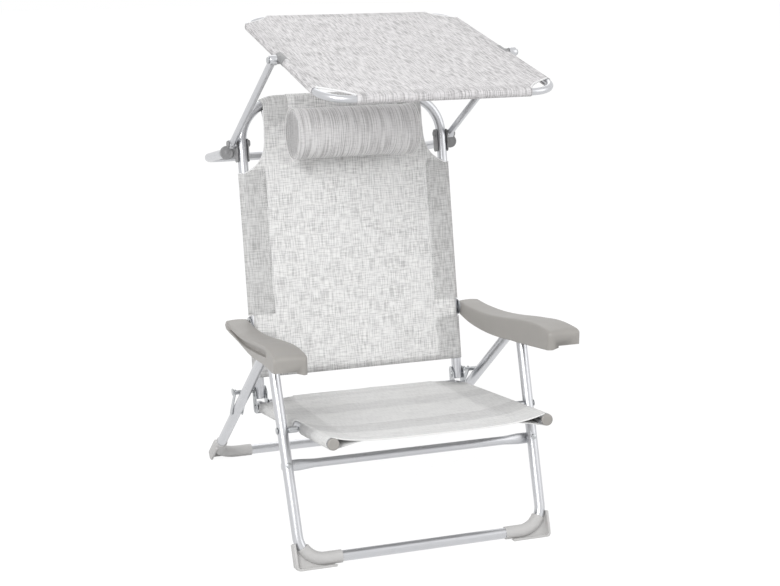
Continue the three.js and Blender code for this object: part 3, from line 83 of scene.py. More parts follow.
class LoungerSizes(bpy.types.PropertyGroup):
    frame_tube: length("Frame tube radius", "Outer radius of the leg, seat and backrest tubes", 11)
    prop_tube: length("Prop tube radius", "Outer radius of the rear prop bar", 10)
    brace_tube: length("Brace tube radius", "Outer radius of the brace between the front legs", 9)
    rear_bar: length("Rear bar radius", "Outer radius of the bar behind the seat sling", 8)
    hood_tube: length("Canopy tube radius", "Outer radius of the canopy's two U tubes", 7)
    hood_arm: length("Canopy arm radius", "Radius of the two arms that carry the canopy", 7.5)
    tube_wall: length("Tube wall", "Wall of the tubes where an end stands open", 1.4)
    tube_lip: length("Tube lip", "Rounding of an open tube end", 0.4)
    sleeve_wall: length("Foot sleeve wall", "Wall of the moulded feet round the tube", 2.2)
    moulding_wall: length("Armrest wall", "Wall of the hollow armrest mouldings", 2.6)
    groove_depth: length("Groove depth", "Depth of the groove along the outside of each armrest", 8.0)
    armrest_edge: length("Armrest edge radius", "Rounding of the armrests' long top edges", 7)
    cloth: length("Cloth thickness", "Thickness of the coated mesh", 1.3)
    seat_band: length("Seat band", "Width of the doubled cloth along each side of the seat", 57)
    back_band: length("Back band", "Width of the doubled cloth along each side of the back", 45)
    bottom_hem: length("Bottom hem", "Height of the doubled hem along the bottom of the back", 14)
    seat_sag: length("Seat sag", "How far the seat sling hangs below its tubes", 15)
    hood_sag: length("Canopy sag", "How far the canopy cloth hangs in its middle", 5)
    piping: length("Piping radius", "Radius of the piping along the cut edges", 1.5)
    stitch: length("Stitch length", "Length of one stitch", 3.4)
    stitch_pitch: length("Stitch pitch", "Distance from one stitch to the next", 5)
    thread_pitch: length("Thread pitch", "Spacing of the threads that show in the coated mesh", 2.0)
    slub_length: length("Slub length", "How long a grey thread runs before it fades", 26)
    plate_edge: length("Plate edge", "Rounding of the pressed steel plates", 0.45)
    moulding_edge: length("Moulding edge", "Rounding of the clamps and sockets", 0.8)


class LoungerColours(bpy.types.PropertyGroup):
    aluminium: colour("Aluminium", "Bright drawn tube", "#cdced1")
    zinc: colour("Zinc plate", "Pins, rivets, brackets and guides", "#c6c8ca")
    foot: colour("Feet and caps", "Moulded feet and tube caps", "#c4c3c2")
    armrest: colour("Armrests", "Moulded armrests", "#9f9c98")
    clamp: colour("Clamps", "Clamps, knobs and sockets", "#929293")
    sling: colour("Sling", "Ground colour of seat and back", "#f2f2f1")
    sling_thread: colour("Sling thread", "Grey threads of seat and back", "#9e9d9e")
    hood: colour("Canopy", "Ground colour of the canopy", "#e6e4e5")
    hood_thread: colour("Canopy thread", "Grey threads of the canopy", "#989697")
    pillow: colour("Head roll", "Ground colour of the head roll", "#edecec")
    pillow_thread: colour("Head roll thread", "Grey threads of the head roll", "#7c797a")
    piping: colour("Piping", "Piping and stitching", "#eeeeee")


class Millimetres:
    """Reads the sizes of the panel in millimetres."""

    def __init__(self, context):
        self.group = context.scene.lounger_sizes

    def __getattr__(self, name):
        return getattr(self.group, name) / MM


# Where each group of pieces sits. Its own frame is in millimetres, on the pivot that it turns on.


def on_pivot(joint, lean, along=0.0):
    found = next(j for j in frame["joints"] if j["name"] == joint)
    return (
        Matrix.Translation(found["pos_m"])
        @ Matrix.Rotation(radians(lean), 4, "X")
        @ Matrix.Scale(MM, 4)
        @ Matrix.Translation((0, 0, along))
    )


FRONT_LEAN, REAR_LEAN = 22.4, 50.8
SEAT_PIVOT_UP = 260.9
REAR_PIVOT_UP, FLOOR_TO_TUBE = 398.04, 13.5
REAR_LEG_LENGTH = (REAR_PIVOT_UP - FLOOR_TO_TUBE) / cos(radians(REAR_LEAN))
FRONT = on_pivot("seat_fold", -FRONT_LEAN, -SEAT_PIVOT_UP)
REAR = on_pivot("rear_leg_fold", REAR_LEAN, -REAR_LEG_LENGTH)
SEAT = on_pivot("seat_fold", -8.95)
BACK = on_pivot("backrest_recline", -12.55)
ARM = on_pivot("armrest_swing", 0)
PROP = on_pivot("rear_prop_fold", -12.55)
HOOD_ARM = on_pivot("canopy_raise", 57.5)
HOOD = on_pivot("canopy_tilt", 9.4)

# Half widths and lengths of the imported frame, in millimetres
FRONT_FOOT_HALF, FRONT_TOP_HALF, FRONT_TOP = 261.5, 272.5, 417.0
LEG_OVERRUN, LEG_BEND = 10.0, 50.0
BRACE_UP, BRACE_BACK, BRACE_FLAT_HALF, BRACE_WIDE_HALF = 190.0, 16.2, 4.6, 11.5
REAR_HALF = 273.0
SEAT_FRONT_HALF, SEAT_REAR_HALF = 222.0, 231.3
SEAT_FRONT, SEAT_RIVET, SEAT_END = -196.4, 304.7, 318.0
SEAT_BAR_Y, SEAT_BAR_UP, SEAT_BAR_HALF, THIN_WALL = 290.0, 9.0, 217, 1.3
BACK_HALF, BACK_TOP, BACK_BEND, ARM_PIVOT_UP = 231.3, 634.0, 85.0, 151.7
PROP_HALF, PROP_FRONT, PROP_REAR, PROP_BEND = 261.0, -17.0, 182.0, 34.0
HOOD_ARM_HALF, HOOD_ARM_LENGTH = 252.6, 400.0
HOOD_HALF, HOOD_FRONT, HOOD_REAR, HOOD_BEND = 232.4, -275.7, 313.7, 58.0


def front_half(up):
    return FRONT_FOOT_HALF + (FRONT_TOP_HALF - FRONT_FOOT_HALF) * up / FRONT_TOP


def seat_half(y):
    splay = (SEAT_REAR_HALF - SEAT_FRONT_HALF) / (SEAT_RIVET - SEAT_FRONT)
    return SEAT_REAR_HALF - splay * (SEAT_RIVET - y)


# Materials


def add(tree, kind, inputs=None, stops=(), **settings):
    """Adds one node with its settings, its values and its links. A node stands for its first output."""
    made = tree.nodes.new(kind)
    for name, value in settings.items():
        setattr(made, name, value)
    for name, value in (inputs or {}).items():
        if isinstance(value, bpy.types.Node):
            value = value.outputs[0]
        if isinstance(value, bpy.types.NodeSocket):
            tree.links.new(value, made.inputs[name])
        else:
            made.inputs[name].default_value = value
    for place, (position, shade) in enumerate(stops):
        ramp = made.color_ramp.elements
        stop = ramp[place] if place < len(ramp) else ramp.new(position)
        stop.position = position
        stop.color = (*shade, 1) if isinstance(shade, tuple) else (shade, shade, shade, 1)
    return made


def start_material(name):
    made = bpy.data.materials.new(name)
    made.use_nodes = True
    made.node_tree.nodes.clear()
    return made, made.node_tree


def shade(colour_value, factor):
    return tuple(min(c * factor, 1) for c in colour_value)


def end_material(tree, height, strength, distance, values):
    """Ends a material with its one shader, bumped by a height, and its output."""
    bump = add(tree, "ShaderNodeBump", {"Height": height, "Strength": strength, "Distance": distance})
    surface = add(tree, "ShaderNodeBsdfPrincipled", {**values, "Normal": bump})
    add(tree, "ShaderNodeOutputMaterial", {"Surface": surface})


def drawn_aluminium(colours):
    """Drawn 6000-series aluminium tube, bright finished, with long die lines that stretch its highlights."""
    made, tree = start_material("drawn_aluminium_tube")
    where = add(tree, "ShaderNodeTexCoord")
    # Die lines are about 0.05 mm apart, too fine to show: drawn 0.7 mm apart and 80 mm long
    apart, run = 0.0007, 0.08
    lines = add(tree, "ShaderNodeMapping", {"Vector": where.outputs["UV"], "Scale": (1 / apart, 1 / run, 1)})
    streaks = add(tree, "ShaderNodeTexNoise", {"Vector": lines, "Scale": 1.0, "Detail": 2.0})
    # Handling marks, about 25 mm across
    handled = {"Vector": where.outputs["Object"], "Scale": 40.0, "Detail": 3.0}
    smears = add(tree, "ShaderNodeTexNoise", handled)
    both = add(tree, "ShaderNodeMath", {0: streaks, 1: smears}, operation="ADD")
    rough = add(tree, "ShaderNodeMapRange", {0: both, 1: 0.6, 2: 1.4, 3: 0.24, 4: 0.4})
    stops = ((0.3, shade(colours.aluminium, 0.93)), (0.7, tuple(colours.aluminium)))
    tint = add(tree, "ShaderNodeValToRGB", {0: streaks}, stops)
    end_material(tree, streaks, 0.12, 0.0002, {"Base Color": tint, "Metallic": 1.0, "Roughness": rough})
    return made


def zinc_plated_steel(colours):
    """Zinc plated steel, barrel plated after pressing: satin with faint cloudy spangle."""
    made, tree = start_material("zinc_plated_steel")
    where = add(tree, "ShaderNodeTexCoord")
    # Cloudiness of the plating, about 4 mm across
    plated = {"Vector": where.outputs["Object"], "Scale": 250.0, "Detail": 4.0}
    clouds = add(tree, "ShaderNodeTexNoise", plated)
    rough = add(tree, "ShaderNodeMapRange", {0: clouds, 1: 0.3, 2: 0.7, 3: 0.26, 4: 0.44})
    stops = ((0.3, shade(colours.zinc, 0.86)), (0.68, tuple(colours.zinc)))
    tint = add(tree, "ShaderNodeValToRGB", {0: clouds}, stops)
    end_material(tree, clouds, 0.1, 0.0002, {"Base Color": tint, "Metallic": 1.0, "Roughness": rough})
    return made


def moulded_plastic(name, base, grain, low, high):
    """Injection moulded plastic with a spark-eroded grain of the given size in metres."""
    made, tree = start_material(name)
    place = add(tree, "ShaderNodeTexCoord").outputs["Object"]
    pits = add(tree, "ShaderNodeTexNoise", {"Vector": place, "Scale": 1 / grain, "Detail": 2.0})
    # Flow marks and rubbed places, about 40 mm across
    flow = add(tree, "ShaderNodeTexNoise", {"Vector": place, "Scale": 25.0, "Detail": 3.0})
    rough = add(tree, "ShaderNodeMapRange", {0: flow, 1: 0.3, 2: 0.7, 3: low, 4: high})
    stops = ((0.3, shade(base, 0.94)), (0.7, shade(base, 1.03)))
    tint = add(tree, "ShaderNodeValToRGB", {0: flow}, stops)
    end_material(tree, pits, 0.3, 0.00015, {"Base Color": tint, "Roughness": rough, "IOR": 1.49})
    return made


def coated_mesh(name, base, thread, sizes, across, along, doubling_and_end_shade, stripes=()):
    """Vinyl coated polyester mesh, woven then fused: an open plain weave with grey slub threads both ways.

    It reads the cloth's own UV map in metres. Across and along are each how grey those slubs are and how
    many slub lengths they run. The attribute layers is 1 where the cloth is doubled, and on the head roll's two
    ends, where it stands for painted shade; there the colour is darkened by the given factor. Stripes are
    bands of greyer weft, given as (metres along the cloth, how grey).
    """
    made, tree = start_material(name)
    pitch = sizes.thread_pitch * MM
    slub = sizes.slub_length * MM
    where = add(tree, "ShaderNodeTexCoord")
    cloth = where.outputs["UV"]
    # A real thread is about 1 mm wide. It is drawn at the thread pitch, so that it shows in the render.
    threads = []
    for size, move, greyness in (
        ((1 / (slub * across[1]), 1 / pitch, 1), (0, 0, 0), across[0]),
        ((1 / pitch, 1 / (slub * along[1]), 1), (7.3, 3.1, 0), along[0]),
    ):
        run = add(tree, "ShaderNodeMapping", {"Vector": cloth, "Scale": size, "Location": move})
        slubs = add(tree, "ShaderNodeTexNoise", {"Vector": run, "Scale": 1.0, "Detail": 1.0})
        faded = {0: slubs, 1: 0.44, 2: 0.62, 3: 0.0, 4: greyness}
        threads.append(add(tree, "ShaderNodeMapRange", faded))
    grey = add(tree, "ShaderNodeMath", {0: threads[0], 1: threads[1]}, operation="ADD")
    # Slow change of the mottling, about 60 mm across
    clouds = add(tree, "ShaderNodeTexNoise", {"Vector": cloth, "Scale": 16.0, "Detail": 2.0})
    amount = add(tree, "ShaderNodeMapRange", {0: clouds, 1: 0.35, 2: 0.65, 3: 0.85, 4: 1.12})
    total = add(tree, "ShaderNodeMath", {0: grey, 1: amount}, operation="MULTIPLY")
    if stripes:
        low, high = stripes[0][0], stripes[-1][0]
        axes = add(tree, "ShaderNodeSeparateXYZ", {0: cloth})
        share = add(tree, "ShaderNodeMapRange", {0: axes.outputs[1], 1: low, 2: high, 3: 0.0, 4: 1.0})
        stops = tuple(((v - low) / (high - low), level) for v, level in stripes)
        weft = add(tree, "ShaderNodeValToRGB", {0: share}, stops)
        total = add(tree, "ShaderNodeMath", {0: total, 1: weft}, operation="ADD")
    total = add(tree, "ShaderNodeClamp", {0: total})
    mixed = {0: total, 6: (*base, 1), 7: (*thread, 1)}
    woven = add(tree, "ShaderNodeMix", mixed, data_type="RGBA")
    # Where layers is 1 the colour is darkened: doubled cloth, and painted shade on the head roll's two ends
    doubled = add(tree, "ShaderNodeAttribute", attribute_name="layers")
    doubling_and_end_shade_mix = {0: doubled.outputs["Fac"], 6: woven.outputs[2], 7: (doubling_and_end_shade, doubling_and_end_shade, doubling_and_end_shade, 1)}
    darker = add(tree, "ShaderNodeMix", doubling_and_end_shade_mix, data_type="RGBA", blend_type="MULTIPLY")
    # The weave itself, one ridge for each drawn thread, with the small dark holes between them
    ridge = 2 * pi / (20 * pitch)
    band = {"Vector": cloth, "Scale": ridge}
    ridges = [add(tree, "ShaderNodeTexWave", band, bands_direction=way, wave_profile="SIN") for way in "XY"]
    crossed = {0: ridges[0].outputs[1], 1: ridges[1].outputs[1]}
    weave = add(tree, "ShaderNodeMath", crossed, operation="MULTIPLY")
    raised = add(tree, "ShaderNodeMath", {0: weave, 1: grey}, operation="ADD")
    open_weave = {0: weave, 6: (1.0, 1.0, 1.0, 1), 7: (0.9, 0.9, 0.9, 1)}
    holes = add(tree, "ShaderNodeMix", open_weave, data_type="RGBA")
    both = {0: 1.0, 6: darker.outputs[2], 7: holes.outputs[2]}
    final = add(tree, "ShaderNodeMix", both, data_type="RGBA", blend_type="MULTIPLY")
    coating = {"Base Color": final.outputs[2], "Roughness": 0.62, "IOR": 1.46}
    end_material(tree, raised, 0.4, 0.0005, coating)
    return made


# Greyer and paler bands of weft across the seat, from its front edge to its rear hem: metres, how grey
SEAT_STRIPES = (
    (-0.19, 0.04), (-0.105, 0.05), (-0.092, 0.26), (-0.02, 0.22), (-0.008, 0.0), (0.004, 0.02), (0.1, 0.03),
    (0.115, 0.2), (0.16, 0.17), (0.175, 0.02), (0.235, 0.04), (0.25, 0.18), (0.3, 0.2),
)


def bound_edge(colours):
    """Folded vinyl coated binding and polyester thread: soft pale cord with a fine twist."""
    made, tree = start_material("vinyl_piping")
    where = add(tree, "ShaderNodeTexCoord")
    # The twist of the cord, about 1.5 mm long
    twisted = {"Vector": where.outputs["Object"], "Scale": 650.0, "Detail": 1.0}
    twist = add(tree, "ShaderNodeTexNoise", twisted)
    stops = ((0.3, shade(colours.piping, 0.85)), (0.6, tuple(colours.piping)))
    tint = add(tree, "ShaderNodeValToRGB", {0: twist}, stops)
    end_material(tree, twist, 0.3, 0.0003, {"Base Color": tint, "Roughness": 0.6})
    return made


# The materials made so far, by their short names
MADE = {}


def finish(context, name):
    """The material of that short name, made the first time that a piece asks for it."""
    colours = context.scene.lounger_colours
    sizes = Millimetres(context)
    ground, thread = colours.sling, colours.sling_thread
    roll, roll_thread = colours.pillow, colours.pillow_thread
    makers = {
        "tube": lambda: drawn_aluminium(colours),
        "zinc": lambda: zinc_plated_steel(colours),
        # Polypropylene: waxy, a little softer in the light than the armrests
        "foot": lambda: moulded_plastic("moulded_polypropylene", colours.foot, 0.0012, 0.42, 0.56),
        # ABS with a fine texture against greasy hands
        "armrest": lambda: moulded_plastic("grained_abs", colours.armrest, 0.0009, 0.38, 0.52),
        # Glass filled nylon: matt, with fibres near the skin
        "clamp": lambda: moulded_plastic("glass_filled_nylon", colours.clamp, 0.0015, 0.45, 0.62),
        "seat": lambda: coated_mesh(
            "sling_mesh_seat", ground, thread, sizes, (0.16, 2), (0.14, 1), 0.86, SEAT_STRIPES
        ),
        "back": lambda: coated_mesh("sling_mesh_back", ground, thread, sizes, (0.34, 1), (0.4, 1.2), 0.76),
        "hood": lambda: coated_mesh(
            "canopy_mesh", colours.hood, colours.hood_thread, sizes, (0.3, 0.5), (0.62, 1.4), 0.92
        ),
        # On the head roll the darkening factor acts only on its two ends: painted shade
        "pillow": lambda: coated_mesh(
            "head_roll_mesh", roll, roll_thread, sizes, (0.14, 0.8), (0.44, 3.5), 0.72
        ),
        "piping": lambda: bound_edge(colours),
    }
    if MADE.get(name, "") not in bpy.data.materials:
        MADE[name] = makers[name]().name
    return bpy.data.materials[MADE[name]]


# Mesh helpers


def new_bmesh():
    bm = bmesh.new()
    bm.loops.layers.uv.new("UVMap")
    return bm


def make_piece(context, name, bm, group, body, slot, material, replaces=(), sign=1, sharp=35):
    """Places a bmesh that was built in a group's own frame, and makes it a piece that rides on a body."""
    if sign < 0:
        bmesh.ops.scale(bm, vec=(-1, 1, 1), verts=bm.verts)
        bmesh.ops.reverse_faces(bm, faces=bm.faces)
    if group is not None:
        bmesh.ops.transform(bm, matrix=group, verts=bm.verts)
    for face in bm.faces:
        face.smooth = True
    for edge in bm.edges:
        edge.smooth = len(edge.link_faces) != 2 or edge.calc_face_angle(0) < radians(sharp)
    mesh = bpy.data.meshes.new(name)
    bm.to_mesh(mesh)
    bm.free()
    mesh.materials.append(finish(context, material))
    obj = bpy.data.objects.new(name, mesh)
    context.scene.collection.objects.link(obj)
    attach(obj, body)
    if replaces:
        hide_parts(*replaces)
    return obj


# How deep the bore of an open tube end is, in millimetres
BORE_DEPTH = 22


def mirrored(points):
    """The corners of a U tube, from points that run from its left end to its left bend."""
    return [(-x, y, z) for x, y, z in points] + list(reversed(points))


def ring_edges(bm, ring):
    return [bm.edges.get((a, b)) for a, b in zip(ring, ring[1:] + ring[:1])]


def extend(bm, ring, move):
    """Extrudes a closed ring of vertices by a matrix, and gives the new ring in the same order."""
    made = bmesh.ops.extrude_edge_only(bm, edges=ring_edges(bm, ring))["geom"]
    new = {v for v in made if isinstance(v, bmesh.types.BMVert)}
    ordered = [next(e.other_vert(v) for e in v.link_edges if e.other_vert(v) in new) for v in ring]
    bmesh.ops.transform(bm, matrix=move, verts=ordered)
    return ordered


def merge(bm, distance):
    """Joins the vertices that lie within that distance, and turns the faces outward."""
    bmesh.ops.remove_doubles(bm, verts=bm.verts, dist=distance)
    bmesh.ops.recalc_face_normals(bm, faces=bm.faces)


def about(point, matrix):
    return Matrix.Translation(point) @ matrix @ Matrix.Translation(-point)


def middle(ring):
    return sum((v.co for v in ring), Vector()) / len(ring)


def swept(bm, corners, bend, radius, sides=32, bend_steps=14, bore=0.0, lip=0.4):
    """A round tube along corners with rounded bends, its ends rounded over and bored or closed."""
    corners = [Vector(c) for c in corners]
    heading = (corners[1] - corners[0]).normalized()
    ring = list(bmesh.ops.create_circle(bm, segments=sides, radius=radius)["verts"])
    turn = Vector((0, 0, 1)).rotation_difference(heading).to_matrix().to_4x4()
    bmesh.ops.transform(bm, matrix=Matrix.Translation(corners[0]) @ turn, verts=ring)
    first, run, faces_before = ring, 0.0, set(bm.faces)
    place = {v: (k, 0.0) for k, v in enumerate(ring)}
    moves, at = [], corners[0].copy()
    for before_corner, corner, after_corner in zip(corners, corners[1:], corners[2:]):
        before = (corner - before_corner).normalized()
        after = (after_corner - corner).normalized()
        angle = before.angle(after)
        reach = bend * tan(angle / 2)
        start = corner - before * reach
        centre = start + (after - before * before.dot(after)).normalized() * bend
        step = about(centre, Matrix.Rotation(angle / bend_steps, 4, before.cross(after)))
        moves.append((Matrix.Translation(start - at), (start - at).length))
        moves += [(step, bend * angle / bend_steps)] * bend_steps
        at = corner + after * reach
    moves.append((Matrix.Translation(corners[-1] - at), (corners[-1] - at).length))
    rings = [ring]
    for move, distance in moves:
        if distance < 1e-6:
            continue
        ring = extend(bm, ring, move)
        run += distance
        place.update({v: (k, run) for k, v in enumerate(ring)})
        rings.append(ring)
    for end, outward, at_run in (
        (first, (corners[0] - corners[1]).normalized(), 0.0),
        (ring, (corners[-1] - corners[-2]).normalized(), run),
    ):
        centre = middle(end)
        inner = radius - lip
        closing = extend(bm, end, about(centre, Matrix.Scale(inner / radius, 4)))
        bmesh.ops.translate(bm, vec=outward * lip, verts=closing)
        closed = [closing]
        if bore:
            mouth = extend(bm, closing, about(middle(closing), Matrix.Scale((radius - bore) / inner, 4)))
            deep = extend(bm, mouth, Matrix.Translation(-outward * BORE_DEPTH))
            closed += [mouth, deep]
        for extra in closed:
            place.update({v: (k, at_run) for k, v in enumerate(extra)})
        bmesh.ops.contextual_create(bm, geom=ring_edges(bm, closed[-1]))
    made = [f for f in bm.faces if f not in faces_before]
    lay_tube_uv(bm, made, place, sides, radius)
    return rings


def lay_tube_uv(bm, faces, place, sides, radius):
    """Lays a tube's UV map in metres: round it in U and along it in V."""
    layer = bm.loops.layers.uv.verify()
    girth = 2 * pi * radius
    for face in faces:
        spots = [place.get(loop.vert, (0, 0.0)) for loop in face.loops]
        wraps = max(k for k, _ in spots) - min(k for k, _ in spots) > sides / 2
        for loop, (k, run) in zip(face.loops, spots):
            k = k + sides if wraps and k < sides / 2 else k
            loop[layer].uv = (k / sides * girth * MM, run * MM)


def spun(bm, profile, y, z, steps=36):
    """A turned piece along X from points (x, radius), spun round the line at y and z."""
    verts = [bm.verts.new((x, y, z + radius)) for x, radius in profile]
    edges = [bm.edges.new(pair) for pair in zip(verts, verts[1:])]
    bmesh.ops.spin(
        bm, geom=verts + edges, cent=(0, y, z), axis=(1, 0, 0), angle=2 * pi, steps=steps, use_merge=True
    )
    merge(bm, 1e-4)


def facing_front(x, y):
    """Turns a piece that was spun along X so that it faces the front, and moves it to that place."""
    return Matrix.Translation((x, y, 0)) @ Matrix.Rotation(-pi / 2, 4, "Z")


def closed_face(bm, points):
    """One flat face through points, in their order."""
    verts = [bm.verts.new(p) if not isinstance(p, bmesh.types.BMVert) else p for p in points]
    edges = [bm.edges.get(pair) or bm.edges.new(pair) for pair in zip(verts, verts[1:] + verts[:1])]
    return bmesh.ops.contextual_create(bm, geom=edges)["faces"][0]


def bevel(bm, edges, width, segments):
    bmesh.ops.bevel(
        bm,
        geom=edges,
        offset=width,
        affect="EDGES",
        segments=segments,
        profile=0.5,
        material=-1,
        clamp_overlap=True,
    )


def slab(bm, points, depth, edge=0.0):
    """A flat outline grown into a slab along depth, with its sharp edges rounded."""
    before = set(bm.faces)
    face = closed_face(bm, points)
    grown = bmesh.ops.extrude_face_region(bm, geom=[face])["geom"]
    bmesh.ops.translate(bm, vec=depth, verts=[v for v in grown if isinstance(v, bmesh.types.BMVert)])
    made = [f for f in bm.faces if f not in before]
    bmesh.ops.recalc_face_normals(bm, faces=made)
    if edge:
        sharp = {e for f in made for e in f.edges if e.calc_face_angle(0) > radians(40)}
        bevel(bm, list(sharp), edge, 2)


def domed(x, radius, height, outward=1, edge=0.5, steps=4):
    """Profile points of a domed head, from its flat underside at x up to the middle of its dome."""
    points = [(x, radius), (x + outward * edge, radius)]
    for k in range(1, steps + 1):
        angle = pi / 2 * k / steps
        points.append((x + outward * (edge + (height - edge) * sin(angle)), radius * cos(angle)))
    points[-1] = (points[-1][0], 0.0)
    return points


def softened(context, name, node, body, slot, material, width, segments=2):
    """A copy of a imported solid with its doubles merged, flat faces joined and edges rounded."""
    bm = new_bmesh()
    bm.from_mesh(frame["nodes"][node].data)
    bmesh.ops.remove_doubles(bm, verts=bm.verts, dist=2e-6)
    bmesh.ops.dissolve_limit(bm, angle_limit=radians(1.5), verts=bm.verts, edges=bm.edges)
    edges = [e for e in bm.edges if len(e.link_faces) == 2 and e.calc_face_angle(0) > radians(50)]
    bevel(bm, edges, width * MM, segments)
    return make_piece(context, name, bm, None, body, slot, material, (node,), sharp=40)


def grid_verts(bm, columns, rows):
    """The vertices of a new grid, each with its column and its row."""
    made = bmesh.ops.create_grid(bm, x_segments=columns - 1, y_segments=rows - 1, size=1)["verts"]
    return {
        v: (round((v.co.x + 1) / 2 * (columns - 1)), round((v.co.y + 1) / 2 * (rows - 1))) for v in made
    }


def cloth_grid(bm, across, along, place):
    """A grid of cloth. place(a, b) gives a point, the cloth's own (u, v) in mm, and how doubled it is."""
    before = set(bm.faces)
    spots = grid_verts(bm, len(across), len(along))
    doubled = bm.verts.layers.float.get("layers")
    layer = bm.loops.layers.uv.verify()
    uvs = {}
    for vert, (i, j) in spots.items():
        point, uv, layers = place(across[i], along[j])
        vert.co = point
        vert[doubled] = layers
        uvs[vert] = (uv[0] * MM, uv[1] * MM)
    faces = [f for f in bm.faces if f not in before]
    for face in faces:
        for loop in face.loops:
            loop[layer].uv = uvs[loop.vert]
    return faces, spots


def open_sleeve(bm, grid, rows, low, high):
    """Opens a grid of cloth between two of its rows, from its third column on."""
    faces, spots = grid
    doomed = []
    for face in faces:
        here = [rows[spots[v][1]] for v in face.verts]
        if min(here) > low - 0.2 and max(here) < high + 0.2 and min(spots[v][0] for v in face.verts) >= 2:
            doomed.append(face)
    bmesh.ops.delete(bm, geom=doomed, context="FACES")


def cloth_bmesh():
    bm = new_bmesh()
    bm.verts.layers.float.new("layers")
    return bm


def steps_between(low, high, pitch):
    count = max(1, round((high - low) / pitch))
    return [low + (high - low) * k / count for k in range(count + 1)]


def marks(*values):
    """Sorted values without near repeats."""
    kept = []
    for value in sorted(values):
        if not kept or value - kept[-1] > 0.4:
            kept.append(value)
    return kept


def smoothstep(low, high, value):
    t = min(max((value - low) / (high - low), 0), 1)
    return t * t * (3 - 2 * t)


def table(points, value):
    """A smooth curve through sorted (x, y) points."""
    if value <= points[0][0]:
        return points[0][1]
    if value >= points[-1][0]:
        return points[-1][1]
    i = next(k for k in range(len(points) - 1) if points[k + 1][0] >= value)
    (x0, y0), (x1, y1) = points[i], points[i + 1]
    before = points[i - 1] if i else points[0]
    after = points[i + 2] if i + 2 < len(points) else points[-1]
    slope0 = (y1 - before[1]) / max(x1 - before[0], 1e-6)
    slope1 = (after[1] - y0) / max(after[0] - x0, 1e-6)
    t, span = (value - x0) / (x1 - x0), x1 - x0
    return (
        (2 * t**3 - 3 * t**2 + 1) * y0
        + (t**3 - 2 * t**2 + t) * span * slope0
        + (3 * t**2 - 2 * t**3) * y1
        + (t**3 - t**2) * span * slope1
    )


def wrinkle(x, y, scale, height):
    """A small fixed unevenness of cloth."""
    return height * noise.noise(Vector((x / scale, y / scale, 3.7)))


def thicken(obj, thickness, offset=0.0):
    wall = obj.modifiers.new("thickness", "SOLIDIFY")
    wall.thickness = thickness * MM
    wall.offset = offset
    wall.use_even_offset = False
    return wall


def stitches(bm, points, sizes, radius=0.45):
    """Short raised stitches along a line of points, each a small six-sided bead."""
    pitch, half = sizes.stitch_pitch, sizes.stitch / 2
    travelled, target = 0.0, pitch / 2
    for start, end in zip(points, points[1:]):
        step = (end - start).length
        while step > 0 and travelled + step >= target:
            centre = start.lerp(end, (target - travelled) / step)
            heading = (end - start).normalized()
            bead = bmesh.ops.create_icosphere(bm, subdivisions=1, radius=1)["verts"]
            turn = Vector((1, 0, 0)).rotation_difference(heading).to_matrix().to_4x4()
            stretch = Matrix.Diagonal((half, radius, radius, 1))
            bmesh.ops.transform(bm, matrix=Matrix.Translation(centre) @ turn @ stretch, verts=bead)
            target += pitch
        travelled += step


def cord_along(bm, points, radius, sides=10):
    """A thin round cord through a line of points, with closed ends."""
    ring = list(bmesh.ops.create_circle(bm, segments=sides, radius=radius)["verts"])
    heading = (points[1] - points[0]).normalized()
    turn = Vector((0, 0, 1)).rotation_difference(heading).to_matrix().to_4x4()
    bmesh.ops.transform(bm, matrix=Matrix.Translation(points[0]) @ turn, verts=ring)
    bmesh.ops.contextual_create(bm, geom=ring_edges(bm, ring))
    for k in range(1, len(points)):
        following = points[min(k + 1, len(points) - 1)]
        new_heading = (following - points[k - 1]).normalized()
        swing = heading.rotation_difference(new_heading).to_matrix().to_4x4()
        move = Matrix.Translation(points[k]) @ swing @ Matrix.Translation(-points[k - 1])
        ring = extend(bm, ring, move)
        heading = new_heading
    bmesh.ops.contextual_create(bm, geom=ring_edges(bm, ring))
    bmesh.ops.recalc_face_normals(bm, faces=bm.faces)


# Tubes


class LOUNGER_OT_front_legs(bpy.types.Operator):
    """The bent front leg frame and the flattened brace riveted behind it"""

    bl_idname = "lounger.front_legs"
    bl_label = "Front Legs"

    def execute(self, context):
        sizes = Millimetres(context)
        top = FRONT_TOP + LEG_OVERRUN
        bm = new_bmesh()
        corners = mirrored([(front_half(top), 0, top), (front_half(0), 0, 0)])
        swept(bm, corners, LEG_BEND, sizes.frame_tube, bore=sizes.tube_wall, lip=sizes.tube_lip)
        make_piece(context, "front_leg_tube", bm, FRONT, "front_frame", "tube", "tube", ("front_leg_frame",))

        # The brace is a round tube pressed flat over its last stretch, where the rivets pass
        bm = new_bmesh()
        half = front_half(BRACE_UP)
        flat_from = half - 34
        # How far the tube is pressed flat at each place along it, from 0 to 1
        pressed = {flat_from - 26: 0, flat_from - 8: 0.55, flat_from + 6: 1, half: 1, half + 5.5: 1}
        stations = [-x for x in reversed(pressed)] + list(pressed)
        route = [(x, BRACE_BACK, BRACE_UP) for x in stations]
        rings = swept(bm, route, 0.001, sizes.brace_tube, bend_steps=1, lip=2.0)
        thin, wide = BRACE_FLAT_HALF / sizes.brace_tube, BRACE_WIDE_HALF / sizes.brace_tube
        for ring in {id(r): r for r in rings}.values():
            centre = middle(ring)
            share = pressed[abs(min(stations, key=lambda x: abs(x - centre.x)))]
            if share:
                press = Matrix.Diagonal((1, 1 - share * (1 - thin), 1 + share * (wide - 1), 1))
                bmesh.ops.transform(bm, matrix=about(centre, press), verts=ring)
        make_piece(context, "front_brace_tube", bm, FRONT, "front_frame", "tube", "tube", ("front_brace",))
        return {"FINISHED"}


